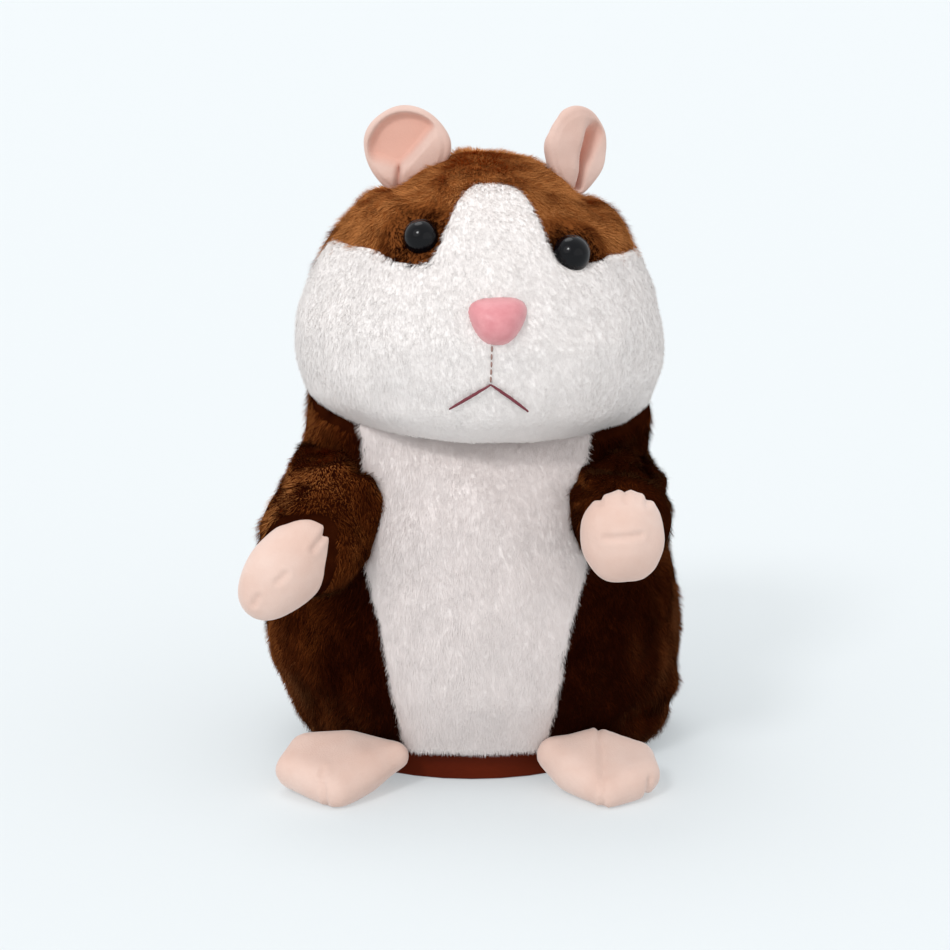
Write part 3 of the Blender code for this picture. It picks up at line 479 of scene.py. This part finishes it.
# ---------------------------------------------------------------- camera, floor and lights
def make_stage():
    lens = bpy.data.cameras.new("camera")
    lens.lens = CAMERA_LENS
    lens.clip_start = 0.01
    camera = bpy.data.objects.new("camera", lens)
    bpy.context.scene.collection.objects.link(camera)
    back = Vector((0, -math.cos(CAMERA_RISE), math.sin(CAMERA_RISE)))
    camera.location = CAMERA_AIM + CAMERA_AWAY * back
    camera.rotation_euler = (-back).to_track_quat("-Z", "Y").to_euler()
    bpy.context.scene.camera = camera
    bpy.context.scene.view_settings.view_transform = "Standard"

    floor_bm = bmesh.new()
    bmesh.ops.create_grid(floor_bm, x_segments=1, y_segments=1, size=20)
    paint = plain("floor_paint", (0.44, 0.455, 0.46), Roughness=0.95, Specular_IOR_Level=0.1,
                  Emission_Color=(0.83, 0.88, 0.905, 1), Emission_Strength=0.41)
    floor = as_object("floor", floor_bm, paint, smooth=False)
    floor.location.z = -0.0002

    world = bpy.data.worlds.new("soft_light")
    bpy.context.scene.world = world
    world.use_nodes = True
    sky = world.node_tree.nodes["Background"]
    sky.inputs["Color"].default_value = (0.92, 0.95, 0.97, 1)
    sky.inputs["Strength"].default_value = 0.92
    for name, power, spread, spot in (
        ("key", 0.3, 45, (-0.75, -1.0, 0.9)),
        ("sparkle", 1.0, 12, (-0.55, -1.0, 0.95)),
        ("fill", 0.3, 60, (0.9, -1.0, 0.2)),
        ("rim", 0.5, 30, (-0.3, 0.6, 1.4)),
    ):
        light = bpy.data.lights.new(name, "SUN")
        light.energy = power
        light.angle = math.radians(spread)
        lamp = bpy.data.objects.new(name, light)
        lamp.rotation_euler = Vector(spot).to_track_quat("Z", "Y").to_euler()
        bpy.context.scene.collection.objects.link(lamp)


make_stage()


# ---------------------------------------------------------------- body, neck and head
def in_face(points, ragged=0.0):
    """Millimetres inside the edge of the white face. ragged jitters the edge, as the pile does."""
    x, y, z = local(points, HEAD_POSE).T
    behind = FACE_BACK - 8 * ((np.minimum(z, 44) - 22) / 20) ** 2 - y
    across = np.minimum(np.interp(np.abs(x), *FACE_EDGE) - z, np.minimum(behind, z + 3))
    return across + ragged * ripple(points, 3 * MM, 71)


def in_belly(points, ragged=0.0):
    x, y, z = (points / MM).T
    across = np.minimum(np.interp(z, *BELLY_EDGE) - np.abs(x - BELLY_CENTRE), np.minimum(-5 - y, 86 - z))
    return across + ragged * ripple(points, 3.5 * MM, 72)


def shaped_head(co):
    """Press the head in under the ears, and narrow it a little above the neck."""
    x, _, z = local(co, HEAD_POSE).T
    dip = np.exp(-((x + 20) / 6.5) ** 2) + 1.15 * np.exp(-((x - 22) / 7.5) ** 2)
    co = co.copy()
    co[:, 2] -= 3.8 * MM * dip * smoothstep(z, 46, 60)
    upper = smoothstep(z, 2, 10)
    co[:, 0] -= MM * upper * (1.8 * smoothstep(x, 20, 44) - 0.7 * smoothstep(-x, 20, 44))
    return co


def make_forms():
    """The brown skin, and the trunk and head forms that the white panels are cut from.
    Under the body the cloth is turned in, up round the works on the base disc."""
    body = node_points("body_skin", "belly_panel")
    head = node_points("head_skin", "face_panel")
    trunk = body[body[:, 2] < 77 * MM]
    collar = np.concatenate([body[(body[:, 2] > 58 * MM) & (body[:, 2] < 76 * MM)],
                             head[(head[:, 2] > 86 * MM) & (head[:, 2] < 100 * MM) & (head[:, 1] > -14 * MM)]])
    collar = collar * (0.93, 1, 1)
    whole = moulded("plush_skin", merged(hull(trunk), hull(collar), hull(head)), 1.5 * MM, 14, BROWN_CLOTH_LIT_FROM_ABOVE)
    trunk_form = moulded("trunk_form", merged(hull(trunk), hull(collar)), 1.5 * MM, 14)
    head_form = moulded("head_form", hull(head), 1.3 * MM, 14)
    for thing in (whole, trunk_form, head_form):
        co = coordinates(thing)
        lumps = 0.4 * MM + 0.7 * MM * ripple(co, 26 * MM, 5) + 0.3 * MM * ripple(co, 11 * MM, 6)
        co = co + normals(thing) * lumps[:, None]
        co = shaped_head(co)
        full = 1 - smoothstep(co[:, 2], 6 * MM, 22 * MM)
        slim = 1 - smoothstep(co[:, 2], 8 * MM, 32 * MM)
        co[:, 0] *= 1 + np.where(co[:, 0] > 0, 0.05 * full, -0.08 * slim * smoothstep(-co[:, 0], 10 * MM, 30 * MM))
        middle = smoothstep(27 * MM - np.abs(co[:, 0]), 0, 7 * MM)
        front = smoothstep(-co[:, 1], 5 * MM, 15 * MM)
        co[:, 2] = np.maximum(co[:, 2], FRONT_HEM * middle * front)
        under = smoothstep(-normals(thing)[:, 2], 0.8, 0.95) * (co[:, 2] < 12 * MM)
        co[:, 2] = np.maximum(co[:, 2], TURN_IN * under)
        set_coordinates(thing, co)
    return whole, trunk_form, head_form


skin, trunk_form, head_form = make_forms()
face = panel("face_cloth", head_form, in_face(coordinates(head_form)), 0.6 * MM, WHITE_CLOTH)
belly = panel("belly_cloth", trunk_form, in_belly(coordinates(trunk_form)), 0.6 * MM, BELLY_CLOTH)
for spare in (trunk_form, head_form):
    bpy.data.objects.remove(spare)
DISC_Y = sum(corner.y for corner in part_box("base_tray")) / 2
FACE_TREE = BVHTree.FromObject(face, bpy.context.evaluated_depsgraph_get())


def face_covers(points):
    """True for the points the face cloth lies over. The collar below it is not covered."""
    over = in_face(points, 1.5) > 0.6
    for index in np.flatnonzero(over & (points[:, 2] < 95 * MM)):
        over[index] = FACE_TREE.find_nearest(Vector(points[index]))[3] < 2.2 * MM
    return over


def sink_skin():
    """Let the brown skin dive under the white panels."""
    co = coordinates(skin)
    covered = np.maximum(smoothstep(in_face(co), 2, 8) * face_covers(co), smoothstep(in_belly(co), 2, 8))
    set_coordinates(skin, co - normals(skin) * (covered * SINK * MM)[:, None])


def eye_spot(side):
    """The middle of an eye bead's dome, as set by the plush round it."""
    low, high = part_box(f"eye_{side}")
    return Vector(((low.x + high.x) / 2, low.y + (high.x - low.x) / 2, (low.z + high.z) / 2)) + EYE_SHIFT[side]


EYE_SPOTS = [np.array(eye_spot(side)) for side in ("right", "left")]
HEAD_SEAMS = [[np.array(HEAD_POSE @ (Vector((side * x, y, z)) * MM)) / MM
               for x, y, z in ((21, -4, 63), (22.5, -18, 59), (24.5, -36, 46))] for side in (-1, 1)]


def eye_distance(points):
    """Metres to the nearer eye."""
    return np.min([np.linalg.norm(points - spot, axis=1) for spot in EYE_SPOTS], axis=0)


def press_skin():
    """Press in the fold of the left hip, the hollows round the eyes and the seams that run down from the ears."""
    co = coordinates(skin)
    draw = crease(co, (36, -30, 13), (52, 10, 8), 2.2, 2.6)
    draw = draw + 1.6 * MM * (1 - smoothstep(eye_distance(co), 3 * MM, 8 * MM))
    for top, bend, foot in HEAD_SEAMS:
        draw = draw + crease(co, top, bend, 3.0, 2.4, 0.35) + crease(co, bend, foot, 2.2, 2.2, 0.35)
    set_coordinates(skin, co - normals(skin) * draw[:, None])


sink_skin()
press_skin()


def brown_here(root, out):
    """Off the white marks, off the floor, and off the cloth turned in under the body."""
    facing_in = root[:, 0] * out[:, 0] + (root[:, 1] - DISC_Y) * out[:, 1] < 0
    overhead = (out[:, 2] < -0.5) & (root[:, 2] > 9 * MM)
    turned_in = (facing_in | overhead) & (root[:, 2] < TURN_IN + MM)
    return ~face_covers(root) & ~turned_in & (in_belly(root, 1.5) < 0.6) & (root[:, 2] > 1.2 * MM)


def on_body(root, out):
    return brown_here(root, out) & (root[:, 2] < COAT_SPLIT)


def on_head(root, out):
    return brown_here(root, out) & (root[:, 2] >= COAT_SPLIT)


def white_face_here(root, out):
    return in_face(root, 1.0) > -0.4


def white_belly_here(root, out):
    return in_belly(root, 1.0) > -0.4


def brown_painted_light(root, out):
    """Painted light and shade on the brown pile: dark where it faces the front, lighter where it faces up, aside or to
    the animal's right, much lighter up the head, darker along the seams from the ears and darkest in the eye hollows.
    """
    # Painted light where the pile faces up, painted sheen toward the sides, painted key light on the animal's right
    # side.
    shade = 0.06 + 0.26 * np.clip(out[:, 2], -0.3, 1) + 0.42 * np.abs(out[:, 0]) ** 3 - 0.14 * out[:, 0]
    # Painted light from above: the pile is painted lighter up the head.
    shade = shade + 0.70 * smoothstep(root[:, 2], 0.076, 0.142)
    # Painted shade along the seams that run down from the ears.
    for top, bend, foot in HEAD_SEAMS:
        shade = shade - crease(root, top, bend, 220, 3, 0) - crease(root, bend, foot, 220, 3, 0)
    # Painted shade in the eye hollows.
    return shade - 0.9 * (1 - smoothstep(eye_distance(root), 5 * MM, 13 * MM))


# Each brown blade's tint is picked by its painted light and shade.
coat = [grow_pile(name, skin, BROWN_PILE_LIT_AND_SHADED, per_mm2=7, length=2.2 * MM, width=0.23 * MM, lean=0.40, seed=11,
                  keep=keep, shading=brown_painted_light, fuzz=0.1)
        for name, keep in (("body_pile", on_body), ("head_pile", on_head))]
face_pile = grow_pile("face_pile", face, FACE_PILE, per_mm2=11.8, length=1.3 * MM, width=0.27 * MM, lean=0.36, seed=12,
                      keep=white_face_here, fuzz=0.02, patches=0.1, spread=0.3)
belly_pile = grow_pile("belly_pile", belly, BELLY_PILE, per_mm2=14, length=1.8 * MM, width=0.22 * MM, lean=0.36,
                       seed=13, keep=white_belly_here, fuzz=0.04, patches=0.25)

for piece in (skin, *coat):
    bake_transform(piece)
for piece in (face, face_pile):
    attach(piece, "head")
for piece in (belly, belly_pile):
    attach(piece, "base")
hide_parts("body_skin", "body_stuffing", "head_skin", "head_stuffing")
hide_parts("face_panel")
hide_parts("belly_panel")


# ---------------------------------------------------------------- arms and paws
# Left and right are the animal's own. Paths are (x, y, z, radius) in millimetres from shoulder to wrist. Folds and
# knuckles are lines as seen from the front, and a paw is its centre, its radii and its turn in degrees. Each sleeve's
# first value is painted light: it lightens the pile of the right sleeve, which faces the light, below the shoulder, and
# darkens the left one a little.
ARMS = {
    "right": dict(
        painted_side_light=0.36,
        path=((-31.5, 4, 72, 9.5), (-31, -10, 68.5, 11.5), (-33.2, -22, 64.5, 13.9), (-36.8, -32, 60, 12.4),
              (-38.7, -37, 57.5, 9.5)),
        folds=(((-41, 0, 78.5), (-27, 0, 80)), ((-37.5, 0, 73.4), (-26, 0, 75.8)), ((-36.5, 0, 69.6), (-29, 0, 71)),
               ((-41, 0, 63.6), (-31, 0, 65.5)), ((-42, 0, 48), (-27, 0, 53)), ((-28, 0, 79), (-18.5, 0, 71))),
        paw=((-42.3, -42, 56.2), (14.2, 8.5, 9.0), (0, -42, 30)),
        knuckles=(((-44, 0, 55), (-42, 0, 56.8)), ((-49.5, 0, 49.5), (-48.5, 0, 51.5)), ((-33, 0, 65), (-36, 0, 61.6))),
    ),
    "left": dict(
        painted_side_light=-0.04,
        path=((33.5, 4, 72, 9), (33.3, -10, 69, 10), (34.3, -23, 66, 11.8), (34.8, -33, 65, 11.2),
              (34.6, -38, 64.3, 9)),
        folds=(((43, 0, 75), (28, 0, 77.5)), ((44, 0, 69), (27, 0, 71.5))),
        paw=((34.2, -44.5, 64), (9.8, 7.6, 10.9), (0, 0, 0)),
        knuckles=(((30, 0, 65.2), (38, 0, 66)), ((34.8, 0, 76), (34.6, 0, 73.4)), ((28.4, 0, 75), (29, 0, 72.5)),
                  ((40.4, 0, 75), (39.8, 0, 72.5))),
    ),
}


def above_cuff(points):
    """0 near the wrist, 1 from the middle of the sleeve up."""
    return smoothstep(points[:, 1], -36 * MM, -28 * MM)


def make_arm(side, arm, seed):
    """A creased sleeve with its pile, and the paw at its end."""
    body = f"arm_{side}"
    sleeve = moulded(f"sleeve_{side}", limb(arm["path"]), 1.1 * MM, 8, BROWN_CLOTH_LIT_FROM_ABOVE)
    co = coordinates(sleeve)
    draw = -0.7 * MM * ripple(co, 9 * MM, seed)
    for start, end in arm["folds"]:
        draw = draw + above_cuff(co) * crease(co, start, end, 1.7, 1.7, 0.45, seen=(1, 0, 1))
    set_coordinates(sleeve, co - normals(sleeve) * draw[:, None])
    centre, radii, turn = arm["paw"]
    paw_pose = Matrix.LocRotScale(Vector(centre) * MM, Euler([math.radians(a) for a in turn]), Vector(radii))

    def off_paw(root, out):
        return np.linalg.norm(local(root, paw_pose), axis=1) > 1.13

    def shade(root, out):
        # Painted shade in the sleeve's folds, with painted light on the swell each side of them, down to the cuff.
        dark = sum(crease(root, start, end, 110, 1.5, 0.3, seen=(1, 0, 1)) for start, end in arm["folds"])
        # Painted light on the sleeve that faces the light, from a little in front of the shoulder down.
        painted_side_light = arm["painted_side_light"] * smoothstep(-root[:, 1], 2 * MM, 20 * MM)
        return brown_painted_light(root, out) + painted_side_light - dark * above_cuff(root)

    pile = grow_pile(f"sleeve_pile_{side}", sleeve, BROWN_PILE_LIT_AND_SHADED, per_mm2=7, length=2.0 * MM, width=0.23 * MM, lean=0.40,
                     seed=seed + 30, keep=off_paw, comb=(0, -0.5, -0.8), shading=shade, fuzz=0.1)
    for piece in (sleeve, pile):
        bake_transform(piece)
    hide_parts(body)

    paw = moulded(f"paw_cloth_{side}", merged(ball(centre, radii, turn)), 0.7 * MM, 4, PINK_CLOTH)
    co = coordinates(paw)
    draw = -0.35 * MM * ripple(co, 8 * MM, seed + 1)
    for start, end in arm["knuckles"]:
        draw = draw + crease(co, start, end, 0.6, 0.7, seen=(1, 0, 1))
    set_coordinates(paw, co - normals(paw) * draw[:, None])
    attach(paw, body)
    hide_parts(f"paw_{side}")
    return sleeve, paw


sleeves = [make_arm(side, arm, 200 + 10 * index) for index, (side, arm) in enumerate(ARMS.items())]


# ---------------------------------------------------------------- feet and tail
# Each foot is a pouch drawn over a few balls (x, y, z, radius), with stitched or folded lines across it.
FEET = {
    "right": dict(
        balls=((-39.5, -30, 7.8, 3.6), (-29.5, -30, 7.4, 4.8), (-18.5, -33.5, 7.8, 3), (-31.5, -46, 3.2, 3.4),
               (-42, -36, 4.8, 3.8), (-37, -40, 4.3, 4), (-26, -37, 5.4, 5)),
        seams=(((-33.5, 0, 1), (-34.5, 0, 7)),),
    ),
    "left": dict(
        balls=((19.5, -32, 7.8, 3.8), (29.5, -30, 7.4, 4.8), (39, -32, 6.4, 3.8), (31.5, -46, 3.2, 3.4),
               (40, -38, 4.6, 3.6), (24, -37, 5.6, 4.8), (36, -42, 4, 4)),
        seams=(((30.5, 0, -2), (30, 0, 16)), ((40, 0, 0), (40.8, 0, 5))),
    ),
}


def make_foot(side, foot, seed):
    """One pouch, puckered along its seams and flat on the floor."""
    points = []
    for x, y, z, radius in foot["balls"]:
        bm = ball((x, y, z), (radius,) * 3)
        points += [vert.co.copy() for vert in bm.verts]
        bm.free()
    piece = moulded(f"foot_cloth_{side}", hull(points), 0.8 * MM, 9, PINK_CLOTH)
    co = coordinates(piece)
    draw = -0.7 * MM - 0.35 * MM * ripple(co, 10 * MM, seed)
    for start, end in foot["seams"]:
        draw = draw + crease(co, start, end, 0.6, 0.55, 0.3, seen=(1, 0, 1))
    co = co - normals(piece) * draw[:, None]
    co[:, 2] = np.maximum(co[:, 2], 0.2 * MM)
    set_coordinates(piece, co)
    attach(piece, "base")
    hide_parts(f"foot_{side}")
    return piece


feet = [make_foot(side, foot, 300 + 10 * index) for index, (side, foot) in enumerate(FEET.items())]

tail_low, tail_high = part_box("tail")
tail_centre = (tail_low + tail_high) / 2 / MM
tail_balls = merged(ball(tail_centre, (6, 6, 6)), ball(tail_centre + Vector((0, -3, 0)), (4.5, 5, 4.5)))
tail = moulded("tail_cloth", tail_balls, 0.8 * MM, 4, WHITE_CLOTH)
tail_pile = grow_pile("tail_pile", tail, FACE_PILE, per_mm2=6, length=2 * MM, width=0.24 * MM, lean=0.6, seed=17)
for piece in (tail, tail_pile):
    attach(piece, "base")
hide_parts("tail")


# ---------------------------------------------------------------- ears
# Each ear: its place across and up in the head's frame, its turn in degrees, its width and whether it is folded shut
EARS = {"right": (-19.4, 65, -12, 1.0, False), "left": (21.2, 66, 30, 0.84, True)}
EAR_RADIUS = 10.7


def ear_hollow(x, z, share, folded):
    """How far the front of an ear is pressed in: a dish over two gathered flaps, or one folded shut to a slot."""
    if folded:
        middle = 0.28 + 0.32 * z
        width = 0.11 + 0.13 * smoothstep(z, -0.5, 0.5)
        slot = math.exp(-((x - middle) / width) ** 2) * smoothstep(z, -1.1, -0.7) * (1 - smoothstep(z, 0.3, 0.75))
        flap = smoothstep(middle - x, 0.1, 0.5) * (1 - share ** 2)
        return 4.4 * slot - 1.2 * flap
    ledge = -0.40 + 1.2 * max(0, x + 0.16) + 0.2 * max(0, -x - 0.16)
    dish = smoothstep(z, ledge - 0.08, ledge + 0.22) * (1 - smoothstep(share, 0.72, 0.98))
    pleat = math.exp(-((x + 0.17) / 0.07) ** 2) * smoothstep(-z, 0.25, 0.45)
    flap = smoothstep(ledge - z, 0.0, 0.3) * (1 - share ** 3)
    return 2.5 * dish + 2.2 * pleat - 1.5 * flap


def make_ear(side, across, height, turn, narrow, folded):
    """A cupped ear: a padded rim, a pressed front and a slightly domed back."""
    steps = 120
    front = np.linspace(0, 0.82, 26)
    rim_turn = np.radians(np.linspace(0, 150, 12))
    back = np.linspace(0.9, 0, 12)
    shares = np.concatenate([front, 0.87 + 0.13 * np.sin(rim_turn), back])
    pose = (HEAD_POSE @ Matrix.Translation(Vector((across, 0, height)) * MM)
            @ Matrix.Rotation(math.radians(turn), 4, "Z"))
    bm = bmesh.new()
    rings = []
    # How far each point of the ear's front is pressed in, kept as the amount of its painted hollow shade.
    hollow_shade_amount = []
    for index, share in enumerate(shares):
        ring = []
        for k in range(steps if share > 1e-4 else 1):
            angle = 2 * math.pi * k / steps
            x, z = share * math.cos(angle), share * math.sin(angle)
            hollow = ear_hollow(x, z, share, folded) if index < len(front) else 0
            hollow_shade_amount.append(hollow / 3)
            if index < len(front):
                y = -1.5 + hollow
            elif index < len(front) + len(rim_turn):
                y = 0.2 - 1.6 * math.cos(rim_turn[index - len(front)])
            else:
                y = 1.6 + 2.0 * (1 - (share / 0.93) ** 2)
            pinch = 1 - 0.2 * smoothstep(-z, -0.3, 1.1)
            ring.append(bm.verts.new(pose @ (Vector((x * pinch * EAR_RADIUS * narrow, y, z * EAR_RADIUS)) * MM)))
        rings.append(ring)
    join_rings(bm, rings)
    bmesh.ops.recalc_face_normals(bm, faces=bm.faces)
    ear = as_object(f"ear_cloth_{side}", bm, EAR_CLOTH_HOLLOW_SHADED)
    # Stored for the ear velour's painted shade in the hollows.
    ear.data.attributes.new("hollow_shade_amount", "FLOAT", "POINT").data.foreach_set("value", np.clip(hollow_shade_amount, 0, 1))
    smooth = ear.modifiers.new("smooth", "SMOOTH")
    smooth.iterations = 2
    bpy.context.view_layer.update()
    apply_modifiers(ear)
    co = coordinates(ear)
    set_coordinates(ear, co + normals(ear) * (0.25 * MM * ripple(co, 6 * MM, 400 + len(side)))[:, None])
    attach(ear, "head")
    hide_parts(f"ear_{side}")
    return ear


ears = [make_ear(side, *values) for side, values in EARS.items()]


# ---------------------------------------------------------------- eyes, nose and mouth
EYE_BLACK = plain("eye_black", (0.002, 0.002, 0.003), Roughness=0.12, IOR=1.5, Specular_IOR_Level=0.2)
for side in ("right", "left"):
    low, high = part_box(f"eye_{side}")
    radius = (high.x - low.x) / 2 / MM
    look = Matrix.Translation(eye_spot(side)) @ Matrix.Rotation(math.radians(90), 4, "X")
    dome = arc((0, 0), radius, 90, -8, 40) + arc((radius - 0.25, -0.9), 0.35, 20, -90, 8)
    stalk = [(1.2, -1.3), (1.2, -5), (0, -5)]
    eye = lathe(f"eye_bead_{side}", dome + stalk, 96, look, EYE_BLACK)
    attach(eye, "head")
    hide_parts(f"eye_{side}")


def make_nose():
    """A stuffed satin triangle with round corners, wider at the top."""
    low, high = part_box("nose")
    centre, half = (low + high) / 2, (high - low) / 2
    bm = bmesh.new()
    steps, levels = 96, 14
    rings = []
    for level in range(levels + 1):
        rise = math.radians(90 * level / levels)
        ring = []
        for k in range(steps if level < levels else 1):
            angle = 2 * math.pi * k / steps
            x, z = math.cos(angle), math.sin(angle)
            edge = 1 / (abs(x) ** 2.7 + abs(z) ** 2.7) ** (1 / 2.7)
            x, z = x * edge * math.cos(rise), z * edge * math.cos(rise)
            x *= 0.80 + 0.26 * z - 0.05 * z * z
            ring.append(bm.verts.new(centre + Vector((x * half.x * 1.12, half.y - 2 * half.y * math.sin(rise) * 0.95,
                                                      z * half.z * 1.04 - 0.4 * MM))))
        rings.append(ring)
    join_rings(bm, rings)
    bm.faces.new(rings[0])
    bmesh.ops.recalc_face_normals(bm, faces=bm.faces)
    satin = mottled("nose_satin", (0.62, 0.215, 0.235), (0.70, 0.28, 0.295), 300, 4000, 0.15, 0.38, 0.06,
                    Sheen_Weight=0.3)
    nose = as_object("nose_cushion", bm, satin)
    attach(nose, "head")
    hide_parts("nose")
    return nose


nose = make_nose()


def make_mouth():
    """Stitches that lie on the front of the face: a seam down from the nose, then the two lips."""
    cotton = plain("mouth_thread", (0.16, 0.022, 0.035), Roughness=0.7)
    seam = plain("seam_thread", (0.30, 0.17, 0.14), Roughness=0.8)

    def on_cheek(x, z, lift):
        spot = HEAD_POSE @ (Vector((x - 0.8, -70, z)) * MM)
        hit, out, _, _ = FACE_TREE.ray_cast(spot, HEAD_POSE.to_3x3() @ Vector((0, 1, 0)))
        return hit + out * lift * MM

    pieces = []
    for index in range(5):
        top = 25.4 - 1.75 * index
        path = [on_cheek(0, top - 1.2 * share, 0.2 + 0.5 * math.sin(math.pi * share)) for share in np.linspace(0, 1, 7)]
        pieces.append(thread(f"seam_stitch_{index + 1}", path, SEAM_THREAD, seam))
    for side in (-1, 1):
        path = [on_cheek(side * 8.8 * share, 16.8 - 6.1 * share + 0.15 * math.sin(math.pi * share), 1.0)
                for share in np.linspace(0, 1, 25)]
        pieces.append(thread(f"lip_{'left' if side > 0 else 'right'}", path, LIP_THREAD, cotton))
    for piece in pieces:
        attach(piece, "head")
    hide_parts("mouth_stitch")


make_mouth()


# ---------------------------------------------------------------- base band
BASE_BROWN = mottled("base_brown", (0.080, 0.0085, 0.0014), (0.105, 0.012, 0.002), 40, 900, 0.1, 0.5, 0.08,
                     Specular_IOR_Level=0.06)
low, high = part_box("base_tray")
disc_centre = Vector((0, DISC_Y, 0))
disc_radius = (high.x - low.x) / 2 / MM
band_profile = ([(disc_radius - 1.4, 0.05), (disc_radius - 0.2, 0.05)]
                + arc((disc_radius - 0.2, 0.65), 0.6, -90, 0, 6) + arc((disc_radius - 0.2, 5.5), 0.6, 0, 90, 6)
                + [(disc_radius - 1.4, 6.1), (disc_radius - 1.4, 0.05)])
band = lathe("base_band", band_profile, 160, Matrix.Translation(disc_centre), BASE_BROWN)
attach(band, "base")

# ---------------------------------------------------------------- hidden works
INSIDE = {
    "base_brown": BASE_BROWN,
    "frame_white": mottled("frame_white", (0.70, 0.69, 0.66), (0.78, 0.77, 0.74), 60, 1200, 0.1, 0.45, 0.08),
    "gear_white": mottled("gear_white", (0.80, 0.79, 0.75), (0.86, 0.85, 0.82), 80, 1400, 0.08, 0.35, 0.06),
    "switch_black": mottled("switch_black", (0.015, 0.015, 0.016), (0.03, 0.03, 0.032), 90, 1800, 0.15, 0.4, 0.08),
    "steel": mottled("steel", (0.45, 0.45, 0.46), (0.58, 0.58, 0.60), 70, 1600, 0.1, 0.3, 0.08, Metallic=1.0),
    "brass": mottled("brass", (0.60, 0.42, 0.16), (0.72, 0.54, 0.24), 70, 1600, 0.1, 0.3, 0.08, Metallic=1.0),
    "cell_jacket": mottled("cell_jacket", (0.03, 0.05, 0.14), (0.05, 0.08, 0.2), 50, 1200, 0.08, 0.35, 0.06),
    "board_green": mottled("board_green", (0.01, 0.09, 0.03), (0.02, 0.14, 0.05), 120, 1500, 0.12, 0.4, 0.06),
    "wire_red": mottled("wire_red", (0.4, 0.015, 0.01), (0.5, 0.03, 0.02), 90, 1500, 0.08, 0.45, 0.06),
    "washer_clear": mottled("washer_clear", (0.62, 0.62, 0.60), (0.70, 0.70, 0.68), 90, 1500, 0.08, 0.25, 0.05),
    "filling": mottled("filling", (0.76, 0.76, 0.74), (0.86, 0.86, 0.85), 220, 1500, 0.5, 0.95, 0.05),
    "brown_pile": BROWN_CLOTH_LIT_FROM_ABOVE,
    "white_pile": WHITE_CLOTH,
    "pink_velour": PINK_CLOTH,
    "eye_black": EYE_BLACK,
}
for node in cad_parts.values():
    for holder in node.material_slots:
        name = holder.material.name.split(".")[0] if holder.material else ""
        if name in INSIDE:
            holder.material = INSIDE[name]
